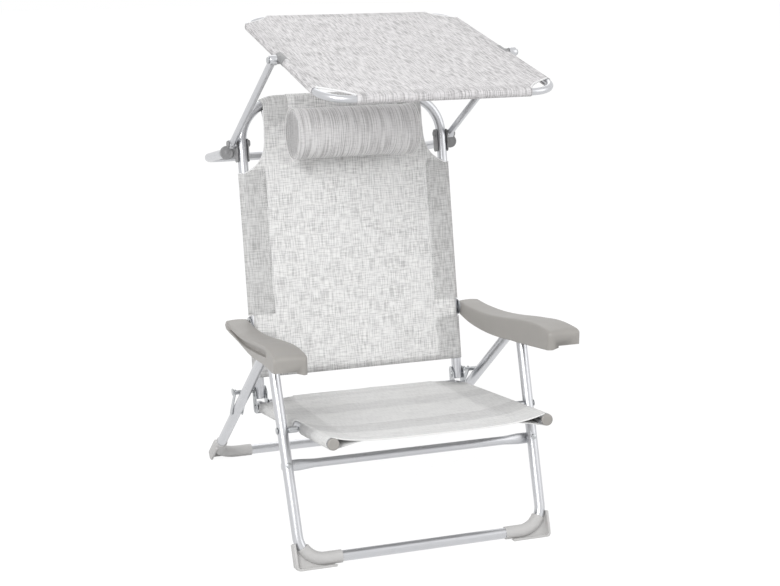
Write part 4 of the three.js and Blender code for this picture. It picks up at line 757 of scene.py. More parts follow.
class LOUNGER_OT_rear_legs(bpy.types.Operator):
    """The bent rear leg frame"""

    bl_idname = "lounger.rear_legs"
    bl_label = "Rear Legs"

    def execute(self, context):
        sizes = Millimetres(context)
        top = REAR_LEG_LENGTH + LEG_OVERRUN
        corners = mirrored([(REAR_HALF, 0, top), (REAR_HALF, 0, 0)])
        bm = new_bmesh()
        swept(bm, corners, LEG_BEND, sizes.frame_tube, bore=sizes.tube_wall, lip=sizes.tube_lip)
        make_piece(context, "rear_leg_tube", bm, REAR, "rear_legs", "tube", "tube", ("rear_leg_frame",))
        return {"FINISHED"}


class LOUNGER_OT_seat_tubes(bpy.types.Operator):
    """The two seat side tubes and the bar that the sling's rear hem goes round"""

    bl_idname = "lounger.seat_tubes"
    bl_label = "Seat Tubes"

    def execute(self, context):
        sizes = Millimetres(context)
        for name, sign in SIDES:
            bm = new_bmesh()
            front = SEAT_FRONT + 4
            corners = [(seat_half(front), front, 0), (seat_half(SEAT_END), SEAT_END, 0)]
            swept(bm, corners, 1, sizes.frame_tube, bore=sizes.tube_wall, lip=sizes.tube_lip)
            made = f"seat_side_tube_{name}"
            make_piece(context, made, bm, SEAT, "seat", "tube", "tube", (f"seat_tube_{name}",), sign)
        bm = new_bmesh()
        ends = [(x, SEAT_BAR_Y, SEAT_BAR_UP) for x in (-SEAT_BAR_HALF, SEAT_BAR_HALF)]
        swept(bm, ends, 1, sizes.rear_bar, sides=24, bore=THIN_WALL)
        make_piece(context, "seat_cross_tube", bm, SEAT, "seat", "tube", "tube", ("seat_rear_bar",))
        return {"FINISHED"}


class LOUNGER_OT_back_tube(bpy.types.Operator):
    """The upside-down U tube of the backrest"""

    bl_idname = "lounger.back_tube"
    bl_label = "Backrest Tube"

    def execute(self, context):
        sizes = Millimetres(context)
        radius, wall, lip = sizes.frame_tube, sizes.tube_wall, sizes.tube_lip
        corners = mirrored([(BACK_HALF, 0, -10), (BACK_HALF, 0, BACK_TOP)])
        bm = new_bmesh()
        swept(bm, corners, BACK_BEND, radius, bend_steps=20, bore=wall, lip=lip)
        make_piece(context, "backrest_tube", bm, BACK, "backrest", "tube", "tube", ("backrest_frame",))
        return {"FINISHED"}


class LOUNGER_OT_rear_prop(bpy.types.Operator):
    """The U bar behind the back and the round caps on its front ends"""

    bl_idname = "lounger.rear_prop"
    bl_label = "Rear Prop"

    def execute(self, context):
        sizes = Millimetres(context)
        corners = mirrored([(PROP_HALF, PROP_FRONT, 0), (PROP_HALF, PROP_REAR, 0)])
        bm = new_bmesh()
        swept(bm, corners, PROP_BEND, sizes.prop_tube, bore=THIN_WALL, lip=sizes.tube_lip)
        make_piece(context, "rear_prop_tube", bm, PROP, "rear_prop_bar", "tube", "tube", ("rear_prop",))
        # A button with a rounded rim, a dished face and a raised middle
        rim = [(0, 8), (0.3, 8), (0.3, 13.8), (0.6, 14.5), (1.2, 15), (3.2, 15), (4.0, 14.4)]
        dish = [(4.3, 13.2), (4.1, 11.8), (3.9, 11.4), (3.9, 3.2), (4.3, 2.4), (4.4, 0)]
        for name, sign in SIDES:
            bm = new_bmesh()
            spun(bm, rim + dish, 0, 0, 40)
            bmesh.ops.transform(bm, matrix=facing_front(PROP_HALF, PROP_FRONT), verts=bm.verts)
            plug = [(PROP_HALF, PROP_FRONT, 0), (PROP_HALF, PROP_FRONT + 9, 0)]
            swept(bm, plug, 1, 8.3, sides=20)
            made, node = f"prop_end_cap_{name}", f"prop_cap_{name}"
            make_piece(context, made, bm, PROP, "rear_prop_bar", "clamp", "clamp", (node,), sign)
        return {"FINISHED"}


class LOUNGER_OT_canopy_tubes(bpy.types.Operator):
    """The two canopy arms and the canopy's front and rear U tubes"""

    bl_idname = "lounger.canopy_tubes"
    bl_label = "Canopy Tubes"

    def execute(self, context):
        sizes = Millimetres(context)
        radius, eye = sizes.hood_arm, 10.0
        for name, sign in SIDES:
            bm = new_bmesh()
            ends = [(HOOD_ARM_HALF, 0, 4), (HOOD_ARM_HALF, 0, HOOD_ARM_LENGTH - 4)]
            swept(bm, ends, 1, radius, sides=28)
            for up in (0, HOOD_ARM_LENGTH):
                low, high = HOOD_ARM_HALF - radius, HOOD_ARM_HALF + radius
                half = [(low, 0), (low, eye - 1.6), (low + 0.5, eye - 0.5), (low + 1.6, eye)]
                profile = half + [(low + high - x, r) for x, r in reversed(half)]
                spun(bm, profile, 0, up)
            made, node = f"canopy_arm_rod_{name}", f"canopy_arm_{name}"
            make_piece(context, made, bm, HOOD_ARM, "canopy_arms", "tube", "tube", (node,), sign)
        for name, line, end in (("front", HOOD_FRONT, -3.9), ("rear", HOOD_REAR, 3.9)):
            corners = mirrored([(HOOD_HALF, end, 0), (HOOD_HALF, line, 0)])
            bm = new_bmesh()
            swept(bm, corners, HOOD_BEND, sizes.hood_tube, sides=28, bend_steps=18)
            made = f"canopy_tube_{name}"
            make_piece(context, made, bm, HOOD, "canopy", "tube", "tube", (f"canopy_frame_{name}",))
        return {"FINISHED"}


# Mouldings and fittings


# How far a foot's sleeve reaches up the leg and in along the floor tube, and the rim and web of its corner
FOOT_UP, FOOT_IN = 78, 84
RIM_IN, RIM_DEEP, RIM_THICK, RIM_CORNER, WEB_THICK = 70, 25, 4.6, 9.0, 3.2


def build_foot(context, name, sign, group, half_at, lean, drop, body, node, turned, rim_up):
    """A moulded sleeve round the lower bend, squared out to a corner by a rim with a thin web behind it."""
    sizes = Millimetres(context)
    outer = sizes.frame_tube + sizes.sleeve_wall
    half = half_at(0)
    bm = new_bmesh()
    if turned:
        # This sleeve starts inside the bend, where the tube has turned that far
        aside, down = sin(radians(turned)), cos(radians(turned))
        heading = Vector((-aside, 0, -down))
        start = Vector((half - LEG_BEND * (1 - down), 0, LEG_BEND * (1 - aside)))
        corner_at = start + heading * (start.z / down)
        route = [start - heading * 0.5, corner_at, Vector((half - FOOT_IN, 0, 0))]
    else:
        route = [(half_at(FOOT_UP), 0, FOOT_UP), (half, 0, 0), (half - FOOT_IN, 0, 0)]
    swept(bm, route, LEG_BEND, outer, sides=36, bend_steps=16, bore=sizes.sleeve_wall, lip=0.8)

    edge, low = half + outer, -FLOOR_TO_TUBE / cos(radians(abs(lean))) - drop
    splay = (half_at(62) - half) / 62
    quarter = [pi / 2 * k / 6 for k in range(7)]

    def corner_arc(radius, angles):
        return [(edge - RIM_CORNER + radius * sin(a), low + RIM_CORNER - radius * cos(a)) for a in angles]

    outside = [(half - RIM_IN, low)] + corner_arc(RIM_CORNER, quarter)
    outside.append((edge + splay * rim_up, rim_up))
    inside = [(edge + splay * rim_up - RIM_THICK, rim_up + 2)]
    inside += corner_arc(RIM_CORNER - RIM_THICK, reversed(quarter))
    inside.append((half - RIM_IN - 2, low + RIM_THICK))
    slab(bm, [(x, -RIM_DEEP / 2, z) for x, z in outside + inside], (0, RIM_DEEP, 0), 0.9)
    bend = [pi / 2 * k / 8 for k in range(9)]
    reach = max(rim_up - 6, 26)
    web = outside[:-1] + [(edge - 2, reach), (half_at(reach), reach)]
    inner_bend = [(half - LEG_BEND * (1 - cos(a)), LEG_BEND * (1 - sin(a))) for a in bend]
    web += [(x, z) for x, z in inner_bend if z < reach - 2]
    web.append((half - RIM_IN, 0))
    web = [(x + (1.5 if x < half - 60 else -1.5 if x > half else 0), max(z, low + 1.5)) for x, z in web]
    slab(bm, [(x, -WEB_THICK / 2, z) for x, z in web], (0, WEB_THICK, 0))

    # The sole is cut level with the floor
    into = group.inverted()
    cut = bmesh.ops.bisect_plane(
        bm,
        geom=bm.verts[:] + bm.edges[:] + bm.faces[:],
        plane_co=into @ Vector((0, 0, 0)),
        plane_no=(into.to_3x3() @ Vector((0, 0, -1))).normalized(),
        clear_outer=True,
    )["geom_cut"]
    open_edges = [e for e in cut if isinstance(e, bmesh.types.BMEdge)]
    if open_edges:
        bmesh.ops.holes_fill(bm, edges=open_edges, sides=0)
    return make_piece(context, name, bm, group, body, "foot", "foot", (node,), sign)


class LOUNGER_OT_feet(bpy.types.Operator):
    """The four moulded corner feet"""

    bl_idname = "lounger.feet"
    bl_label = "Feet"

    def execute(self, context):
        def rear_half(up):
            return REAR_HALF

        front = (FRONT, front_half, FRONT_LEAN, 4.5, "front_frame")
        rear = (REAR, rear_half, REAR_LEAN, 3.0, "rear_legs")
        for name, sign in SIDES:
            build_foot(context, f"front_corner_foot_{name}", sign, *front, f"front_foot_{name}", 30, 34)
            build_foot(context, f"rear_corner_foot_{name}", sign, *rear, f"rear_foot_{name}", 0, 62)
        return {"FINISHED"}


class LOUNGER_OT_seat_caps(bpy.types.Operator):
    """The domed caps on the front ends of the seat tubes"""

    bl_idname = "lounger.seat_caps"
    bl_label = "Seat Caps"

    def execute(self, context):
        for name, sign in SIDES:
            bm = new_bmesh()
            profile = [(0, 9.3), (0, 12), (1.2, 12), (2.6, 11.7), (3.5, 11), (4, 9.8), (4.2, 8), (4.2, 0)]
            spun(bm, profile, 0, 0, 40)
            at = SEAT_FRONT + 4.2
            bmesh.ops.transform(bm, matrix=facing_front(seat_half(at), at), verts=bm.verts)
            swept(bm, [(seat_half(at), at, 0), (seat_half(at + 14), at + 14, 0)], 1, 9.2, sides=24)
            made = f"seat_end_cap_{name}"
            make_piece(context, made, bm, SEAT, "seat", "foot", "armrest", (f"seat_cap_{name}",), sign)
        return {"FINISHED"}


def riveted(low, high, low_head, high_head, barrel=()):
    """Profile of a rivet from low to high. A head is a radius and a height, barrel a thicker stretch."""
    start = list(reversed(domed(low, *low_head, -1)))
    return start + [(low, PIN), *barrel, (high, PIN)] + domed(high, *high_head)


# Radius of the rivets and of the larger bolts, and the play under their heads
PIN, BOLT, PLAY = 3.2, 4.0, 0.3
# Inner and outer faces of the hinge brackets and of the canopy clamps
HINGE_IN, HINGE_OUT, CLAMP_OUT = 217.3, 244.9, 245.0
# The barrel that fills the back tube round a pin
BARREL = [(223.9, 4.4), (228, 8.3), (234.6, 8.3), (238.7, 4.4)]


class LOUNGER_OT_fasteners(bpy.types.Operator):
    """Rivets, pins, spacers and bolts, each turned with domed heads"""

    bl_idname = "lounger.fasteners"
    bl_label = "Fasteners"

    def execute(self, context):
        for name, sign in SIDES:
            bm = new_bmesh()
            # This rivet lies along Y, through the leg and the brace
            spun(bm, riveted(-11.3, 21.1, (5.8, 2.4), (5.6, 2.0)), 0, 0)
            turned = Matrix.Rotation(pi / 2, 4, "Z")
            through = Matrix.Translation((front_half(BRACE_UP), 0, BRACE_UP)) @ turned
            bmesh.ops.transform(bm, matrix=through, verts=bm.verts)
            made, node = f"brace_rivet_{name}", f"brace_rivet_{name}"
            make_piece(context, made, bm, FRONT, "front_frame", "rivet", "zinc", (node,), sign)
            for made, node, profile, group, place, body, slot, material in self.turned_pieces():
                bm = new_bmesh()
                spun(bm, profile, *place)
                node = f"{node}_{name}"
                make_piece(context, f"{made}_{name}", bm, group, body, slot, material, (node,), sign)
        return {"FINISHED"}

    def turned_pieces(self):
        """Pieces along X on the left: name, node, profile, group, (y, z), body, slot and material."""
        leg_in, leg_out = 258.6, 286.6
        rear_leg = riveted(leg_in, leg_out, (5.6, 1.8), (5.6, 2.2))
        tube_in, tube_out = seat_half(0) - 10, seat_half(0) + 12
        spacer = front_half(SEAT_PIVOT_UP) - 12
        seat_pin = [(tube_in, 0), (tube_in, BOLT), (tube_out, BOLT), (tube_out, 6.4), (tube_out + 0.6, 7)]
        seat_pin += [(spacer - 0.6, 7), (spacer, 6.4), (spacer, BOLT), (spacer + 23.3, BOLT)]
        seat_pin += domed(spacer + 23.3, 7, 2.4)
        hinge_in, hinge_out = HINGE_IN - PLAY, HINGE_OUT + PLAY
        seat_rivet = riveted(hinge_in, hinge_out, (5.6, 2.0), (5.6, 2.0))
        in_tube = [(BARREL[0][0], PIN), *BARREL, (BARREL[-1][0], PIN)]
        recline = riveted(hinge_in, hinge_out, (7.4, 3.0), (5.9, 2.0), in_tube)
        nut, end = hinge_out + 2.1, 292.6
        latch = [(242.6, 0), (242.6, 3), (nut, 3), (nut, 5.4), (nut + 0.5, 6), (nut + 4.5, 6)]
        latch += [(nut + 5, 5.4), (nut + 5, 3), (end - 2.6, 3), (end - 2.6, 7.4), (end - 2.1, 8)]
        latch += [(end - 0.8, 8), (end - 0.2, 7.3), (end, 0)]
        arm = [(221.3, 0), (221.3, BOLT), *BARREL, (242.6, BOLT), (242.6, 16.4), (243, 17), (244.6, 17)]
        arm += [(245, 16.4), (245, BOLT), (262.3, BOLT), (262.3, 0)]
        knob_in, knob_out = 217.6, 260.4
        knob = [(knob_in - 4.3, 0), (knob_in - 4.3, 5.6), (knob_in - 3.6, 6.9), (knob_in - 2.6, 7.5)]
        knob += [(knob_in - 0.6, 7.5), (knob_in - PLAY, 7), (knob_in - PLAY, 3), (knob_out, 3)]
        knob += [(knob_out, 7), (knob_out + 0.4, 7.5), (knob_out + 2.6, 7.5), (knob_out + 3.6, 6.9)]
        knob += [(knob_out + 4, 5.4), (knob_out + 4, 0)]
        prop_in, prop_out = 250.7, 271.3
        prop = [(CLAMP_OUT - 4.2, 0), (CLAMP_OUT - 4.2, 5), (CLAMP_OUT - 3.6, 5.6), (CLAMP_OUT - 2.4, 5.6)]
        prop += [(CLAMP_OUT - 2.4, PIN), (CLAMP_OUT + PLAY, PIN), (CLAMP_OUT + PLAY, 5.6), (prop_in, 5.6)]
        prop += [(prop_in, PIN), (prop_out, PIN)] + domed(prop_out, 5.6, 2.2)
        tilt = [(219.8, 0), (219.8, 5.8), (220.4, 6.5), (222.3, 6.5), (222.8, 6), (222.8, 3), (260.4, 3)]
        tilt += [(260.4, 6), (260.9, 6.5), (263.4, 6.5), (264.4, 5.4), (264.6, 0)]
        rivet, bracket, clamp = ("rivet", "zinc"), ("bracket", "zinc"), ("clamp", "clamp")
        at_leg, at_rivet = (0, REAR_LEG_LENGTH), (SEAT_RIVET, 0)
        at_recline, at_latch = (308, 27.5), (311, 36.6)
        return (
            ("rear_leg_pin", "rear_leg_pivot", rear_leg, REAR, at_leg, "rear_legs", *rivet),
            ("seat_pin", "seat_pivot_pin", seat_pin, SEAT, (0, 0), "seat", *rivet),
            ("seat_rear_rivet", "seat_rivet", seat_rivet, SEAT, at_rivet, "seat", *rivet),
            ("recline_rivet", "recline_pin", recline, SEAT, at_recline, "recline_pins", *rivet),
            ("latch_bolt", "latch_pin", latch, SEAT, at_latch, "seat", *bracket),
            ("arm_pivot", "arm_pin", arm, BACK, (0, ARM_PIVOT_UP), "arm_pins", *rivet),
            ("canopy_arm_knob", "canopy_arm_bolt", knob, BACK, (0, 545), "backrest", *clamp),
            ("prop_pin", "prop_pivot", prop, PROP, (0, 0), "rear_prop_bar", *rivet),
            ("canopy_tilt_nut", "canopy_tilt_bolt", tilt, HOOD, (0, 0), "canopy", *bracket),
        )


class LOUNGER_OT_steel_fittings(bpy.types.Operator):
    """The pressed leg links, hinge brackets and latch guides"""

    bl_idname = "lounger.steel_fittings"
    bl_label = "Steel Fittings"

    def execute(self, context):
        edge = Millimetres(context).plate_edge
        for name, _ in SIDES:
            for node, body, slot, material in (
                ("leg_link", "front_frame", "rivet", "zinc"),
                ("hinge_bracket", "seat", "bracket", "zinc"),
                ("latch_guide", "latch_guides", "rivet", "zinc"),
            ):
                made = f"{node}_plate_{name}"
                softened(context, made, f"{node}_{name}", body, slot, material, edge)
        return {"FINISHED"}


class LOUNGER_OT_clamps(bpy.types.Operator):
    """The moulded canopy clamps and pivot sockets"""

    bl_idname = "lounger.clamps"
    bl_label = "Clamps and Sockets"

    def execute(self, context):
        edge = Millimetres(context).moulding_edge
        for name, _ in SIDES:
            clamp, socket = f"canopy_clamp_{name}", f"canopy_socket_{name}"
            softened(context, f"clamp_moulding_{name}", clamp, "backrest", "clamp", "clamp", edge, 3)
            softened(context, f"socket_moulding_{name}", socket, "canopy", "clamp", "clamp", edge, 3)
        return {"FINISHED"}


# Armrests

# Heights of the armrest's outlines above its pin, against the distance ahead of the pin
ARM_LENGTH = 470.0
ARM_TIP = 13.0
ARM_TOP = [
    (0, 13), (20, 12.6), (56, 13), (126, 18), (186, 26), (236, 35), (286, 45), (336, 54),
    (371, 60), (406, 63.5), (436, 64), (455, 63.6), (462, 62.6), (466.5, 60.4), (469, 57.4), (470, 54.5),
]
ARM_INNER_BOTTOM = [
    (0, -13), (18, -16), (66, -21), (121, -21), (174, -18),
    (235, -11), (285, -3), (329, 3), (470, 25),
]
ARM_OUTER_BOTTOM = [(0, -5.8), (40, -4), (130, 2), (252, 8), (388, 26), (453, 31), (470, 33)]
ARM_GROOVE_LOW = [(20, -1), (82, 3), (174, 8), (309, 29), (396, 45)]
ARM_GROOVE_HIGH = [(20, 7), (82, 9.5), (174, 19), (309, 43), (396, 58)]
ARM_INNER_REAR, ARM_INNER_FRONT, ARM_OUTER_REAR, ARM_OUTER_FRONT = 245.3, 251.0, 295.0, 320.0


def arm_inner(forward):
    return ARM_INNER_REAR + (ARM_INNER_FRONT - ARM_INNER_REAR) * forward / ARM_LENGTH


def arm_outer(forward):
    return ARM_OUTER_REAR + (ARM_OUTER_FRONT - ARM_OUTER_REAR) * forward / ARM_LENGTH


def arm_section(forward, sizes):
    """The section across an armrest at a distance ahead of its pin: inner foot, over the top, outer foot."""

    def pull(corner):
        past = min(max(forward - (ARM_LENGTH - corner), 0) / corner, 1)
        return corner * (1 - (1 - past**2) ** 0.5)

    inner, outer = arm_inner(forward) + pull(9), arm_outer(forward) - pull(4)
    tip = max(ARM_TIP**2 - min(forward, 0) ** 2, 0) ** 0.5 / ARM_TIP
    top = table(ARM_TOP, forward) * tip + 0.3 * (1 - tip)
    low_in = table(ARM_INNER_BOTTOM, forward) * tip - 0.3 * (1 - tip)
    low_out = table(ARM_OUTER_BOTTOM, forward) * tip - 0.3 * (1 - tip)
    edge_in = min(sizes.armrest_edge, (top - low_in) * 0.45)
    edge_out = min(sizes.armrest_edge * 0.5, (top - low_out) * 0.3)
    points = [(inner, low_in + (top - edge_in - low_in) * share) for share in (0, 0.04, 0.3, 0.65, 1)]
    twelfths = [pi / 12 * k for k in range(7)]
    points += [
        (inner + edge_in * (1 - cos(a)), top - edge_in + edge_in * sin(a)) for a in twelfths[1:]
    ]
    wide = outer - inner - edge_in - edge_out
    points += [
        (inner + edge_in + wide * share, top + 1.4 * (1 - (2 * share - 1) ** 2))
        for share in (0.15, 0.3, 0.5, 0.7, 0.85)
    ]
    points += [
        (outer - edge_out * (1 - sin(a)), top - edge_out + edge_out * cos(a)) for a in twelfths
    ]
    depth = sizes.groove_depth * smoothstep(16, 34, forward) * (1 - smoothstep(386, 404, forward))
    high = min(table(ARM_GROOVE_HIGH, forward), top - edge_out - 1)
    low = max(table(ARM_GROOVE_LOW, forward), low_out + 2)
    if depth <= 0 or high - low < 2:
        span = top - edge_out - low_out
        high, low = low_out + span * 0.7, low_out + span * 0.35
        depth = 0.0
    points += [
        (outer, high + 0.3),
        (outer - depth * 0.12, high),
        (outer - depth * 0.9, high - 0.5),
        (outer - depth, high - 1.4),
        (outer - depth, low + 1.4),
        (outer - depth * 0.9, low + 0.5),
        (outer - depth * 0.12, low),
        (outer, low - 0.3),
        (outer, low_out + 0.3),
        (outer, low_out),
    ]
    return points


class LOUNGER_OT_armrests(bpy.types.Operator):
    """The two hollow armrest mouldings with their racks below"""

    bl_idname = "lounger.armrests"
    bl_label = "Armrests"

    def execute(self, context):
        sizes = Millimetres(context)
        stations = [-ARM_TIP * cos(pi / 2 * k / 8) for k in range(9)]
        stations += steps_between(6, 380, 8.5) + steps_between(384, 406, 3.6) + steps_between(410, 455, 6)
        stations += [458, 461, 463, 465, 466.2, 467.2, 468.2, 469, 469.6, 470]
        count = len(arm_section(100, sizes))
        for name, sign in SIDES:
            bm = new_bmesh()
            sections = {f: arm_section(f, sizes) for f in stations}
            front = {}
            for vert, (i, j) in grid_verts(bm, len(stations), count).items():
                x, z = sections[stations[i]][j]
                vert.co = (x, -stations[i], z)
                if i == len(stations) - 1:
                    front[j] = vert
            # The front wall steps up halfway across, where the outer wall's lower edge is higher
            wall = [front[j] for j in range(count)]
            step_x = (ARM_INNER_FRONT + ARM_OUTER_REAR) / 2
            wall += [bm.verts.new((step_x, -ARM_LENGTH, z)) for z in (33, 29)]
            closed_face(bm, wall)
            merge(bm, 0.01)
            up = sum(f.normal.z * f.calc_area() for f in bm.faces if f.calc_center_median().y > -440)
            if up < 0:
                bmesh.ops.reverse_faces(bm, faces=bm.faces)
            made, node = f"armrest_moulding_{name}", f"armrest_{name}"
            shell = make_piece(context, made, bm, ARM, "armrests", "armrest", "armrest", (node,), sign)
            thicken(shell, sizes.moulding_wall, -1)
            bm = new_bmesh()
            self.add_racks(bm)
            boss = [(247.5, 0), (247.5, 8), (261.5, 8), (262.3, 7.2), (262.3, 0)]
            spun(bm, boss, 0, 0)
            make_piece(context, f"armrest_rack_{name}", bm, ARM, "armrests", "armrest", "armrest", (), sign)
        return {"FINISHED"}

    def add_racks(self, bm):
        """Two ribs under the top, notched for the leg pin."""
        # Where the leg pin lies at rest, ahead of the armrest's own pin and above it
        ahead, above = 250.71 + 31.3, 399.04 - 382.04
        slope = above / ahead
        start, end = ahead - 24, ARM_LENGTH - 24
        pitch, notch, mouth, thick = 33, 4.8, 2.6, 4
        first = asin(mouth / notch)
        turns = [first + (pi - 2 * first) * n / 6 for n in range(7)]
        for x in (252.5, 290.1):
            lower = [(start, slope * start + notch)]
            for k in range(6):
                tooth = ahead + pitch * k
                if tooth > end - 8:
                    break
                centre = slope * tooth + notch - mouth
                lower += [(tooth - notch * cos(a), centre + notch * sin(a)) for a in turns]
            lower.append((end, slope * end + notch))
            upper = [(f, table(ARM_TOP, f) - 2.0) for f in (end, 400, 360, 320, start)]
            slab(bm, [(x, -f, z) for f, z in lower + upper], (thick, 0, 0))


# Slings


# Radius of the sleeves round the 22 mm tubes, and how far a stitch lies above the cloth's middle
SLEEVE, THREAD_UP = 12.05, 0.75


def seat_profile(share, y, sizes):
    """Height of the seat sling's middle surface above the tubes' centre line."""
    held = 1 - smoothstep(60, 285, y)
    # The rear bar lifts the sheet between the hinges
    lifted = (SEAT_BAR_UP - 3.0) * smoothstep(120, 285, y) * (1 - smoothstep(0.78, 1, abs(share)))
    return 12.0 + lifted - sizes.seat_sag * (1 - abs(share) ** 5) * held


class LOUNGER_OT_seat_sling(bpy.types.Operator):
    """The seat sling: a sheet sewn into a sleeve round each side tube and a hem round the rear bar"""

    bl_idname = "lounger.seat_sling"
    bl_label = "Seat Sling"

    def execute(self, context):
        sizes = Millimetres(context)
        front, rear, hem_half, seam_y = -186.0, SEAT_BAR_Y, 165.0, 262
        radius = SLEEVE
        # The sheet ends ahead of the hinge brackets beside its hem
        beside, ahead_of_hinge = 218.7, 266

        def rear_edge(x):
            if x <= hem_half:
                return rear
            if x <= beside:
                return 283 - (x - hem_half) / (beside - hem_half) * (283 - ahead_of_hinge)
            return ahead_of_hinge + (x - beside) * 0.6

        # Across: the sheet first, then round the outside of the tube and back below the sheet to its seam
        turns = [radians(a) for a in range(80, -101, -10)]
        path = [("sheet", s) for s in (k / 30 for k in range(31))] + [("round", a) for a in turns]
        path += [("under", k / 6) for k in range(1, 7)]

        def spot(item, y):
            kind, value = item
            half = seat_half(y)
            seam = half - sizes.seat_band
            if kind == "sheet":
                x = value * half
                z = seat_profile(value, y, sizes) + wrinkle(x, y, 60, 1.2) * (1 - value**4)
                return Vector((x, y, z)), x
            if kind == "round":
                run = half + radius * (pi / 2 - value)
                return Vector((half + radius * cos(value), y, radius * sin(value))), run
            at = Vector((half + radius * cos(turns[-1]), y, radius * sin(turns[-1])))
            seam_point = Vector((seam, y, seat_profile(seam / half, y, sizes) - 1.6))
            run = half + radius * (pi / 2 - turns[-1]) + value * (seam_point - at).length
            return at.lerp(seam_point, value), run

        bm = cloth_bmesh()
        cut_rows = (-14.0, 32.0)
        # The sheet runs straight between its few rows
        far_rows = [front + (rear - front) * share for share in (0, 19 / 45, 38 / 45)]
        along = marks(*far_rows, *cut_rows, 286, 288.5)
        columns = list(range(-len(path) + 1, len(path)))

        def place(column, y):
            item = path[abs(column)]
            side = -1 if column < 0 else 1
            edge = rear_edge(item[1] * seat_half(y)) if item[0] == "sheet" else 278.0
            at_y = min(y, edge)
            point, run = spot(item, at_y)
            point.x *= side
            doubled = 1.0 if item[0] != "sheet" or abs(point.x) > seat_half(at_y) - sizes.seat_band else 0.0
            hem = 1.0 if at_y < front + 14 else 0.0
            return point, (side * run, at_y), max(doubled, hem)

        faces, spots = cloth_grid(bm, columns, along, place)
        # The sleeves stop either side of the pins that go through to the front legs
        doomed = []
        for face in faces:
            here = [path[abs(columns[spots[v][0]])] for v in face.verts]
            ys = [along[spots[v][1]] for v in face.verts]
            outside = all(kind == "round" for kind, _ in here) and max(v for _, v in here) < radians(71)
            if outside and min(ys) >= cut_rows[0] - 0.1 and max(ys) <= cut_rows[1] + 0.1:
                doomed.append(face)
            elif face.calc_area() < 0.05:
                doomed.append(face)
        bmesh.ops.delete(bm, geom=doomed, context="FACES")
        bmesh.ops.remove_doubles(bm, verts=bm.verts, dist=0.05)

        # The rear hem goes round the bar and comes back below the sheet
        bar_y, bar_z, bar_r = SEAT_BAR_Y, SEAT_BAR_UP, 9.0

        def round_bar(x, turn):
            return Vector((x, bar_y + bar_r * cos(turn), bar_z + bar_r * sin(turn)))

        def hem_place(x, step):
            if step <= 1:
                height = seat_profile(x / seat_half(bar_y), bar_y, sizes)
                height += wrinkle(x, bar_y, 60, 1.2) * (1 - (x / SEAT_REAR_HALF) ** 4)
                point = round_bar(x, radians(90 - 200 * step))
                point.z += max(height - (bar_z + bar_r), 0) * (1 - step) ** 2
                return point, (x, bar_y + radians(200) * bar_r * step), 1.0
            end = Vector((x, seam_y, seat_profile(x / seat_half(seam_y), seam_y, sizes) - 1.7))
            return round_bar(x, radians(-110)).lerp(end, step - 1), (x, bar_y + 32 + 30 * (step - 1)), 1.0

        hem_columns = [x for x in (seat_half(bar_y) * k / 30 for k in range(-30, 31)) if abs(x) <= hem_half]
        hem_steps = [0, 0.015, 0.04] + [k / 12 for k in range(1, 13)] + [1 + k / 4 for k in range(1, 5)]
        cloth_grid(bm, hem_columns, hem_steps, hem_place)
        merge(bm, 0.3)
        node = "seat_cloth"
        sheet = make_piece(context, "seat_sling", bm, SEAT, "seat", "sling", "seat", (node,), sharp=70)
        thicken(sheet, sizes.cloth)

        # Stitch lines beside the bands, and the bound front edge
        def above_sheet(x, y, lift):
            point, _ = spot(("sheet", abs(x) / seat_half(y)), y)
            return Vector((x, y, point.z + lift))

        bm = new_bmesh()
        down = steps_between(front + 4, seam_y, 6)
        for side in (-1, 1):
            for inset in (sizes.seat_band - 2, sizes.seat_band - 6):
                line = [above_sheet(side * (seat_half(y) - inset), y, THREAD_UP) for y in down]
                stitches(bm, line, sizes)
        for y in (front + 12, seam_y):
            reach = seat_half(y) * 0.86 if y < 0 else hem_half - 4
            line = [above_sheet(x, y, THREAD_UP) for x in steps_between(-reach, reach, 8)]
            stitches(bm, line, sizes)
        thread = make_piece(context, "seat_sling_stitching", bm, SEAT, "seat", "sling", "piping", sharp=180)
        bm = new_bmesh()
        reach = seat_half(front) * 0.99
        cord_along(bm, [above_sheet(x, front, 0) for x in steps_between(-reach, reach, 8)], 1.3)
        bound = make_piece(context, "seat_sling_binding", bm, SEAT, "seat", "sling", "seat", sharp=180)
        return {"FINISHED"}


SHOULDER, NECK_HALF, NECK_UP = 480.0, 182.0, 560.0


def bezier(a, b, c, d, t):
    return tuple(
        (1 - t) ** 3 * p + 3 * (1 - t) ** 2 * t * q + 3 * (1 - t) * t**2 * r + t**3 * s
        for p, q, r, s in zip(a, b, c, d)
    )


SHOULDER_BENDS = ((BACK_HALF, SHOULDER), (201.3, 494), (NECK_HALF, 510), (NECK_HALF, NECK_UP))
SHOULDER_CURVE = [bezier(*SHOULDER_BENDS, k / 16) for k in range(17)]


def back_half(up):
    """Half width of the back sling's sheet at a height up the back."""
    if up <= SHOULDER:
        return BACK_HALF
    if up >= NECK_UP:
        return NECK_HALF
    for (x0, z0), (x1, z1) in zip(SHOULDER_CURVE, SHOULDER_CURVE[1:]):
        if z0 <= up <= z1:
            return x0 + (x1 - x0) * (up - z0) / (z1 - z0)
    return NECK_HALF


def top_tube(x):
    """Centre height of the backrest's top tube at x, and the lean of its outward direction there."""
    start = BACK_HALF - BACK_BEND
    over = max(abs(x) - start, 0)
    turn = asin(min(over / BACK_BEND, 1))
    return BACK_TOP - BACK_BEND * (1 - cos(turn)), turn if x > 0 else -turn


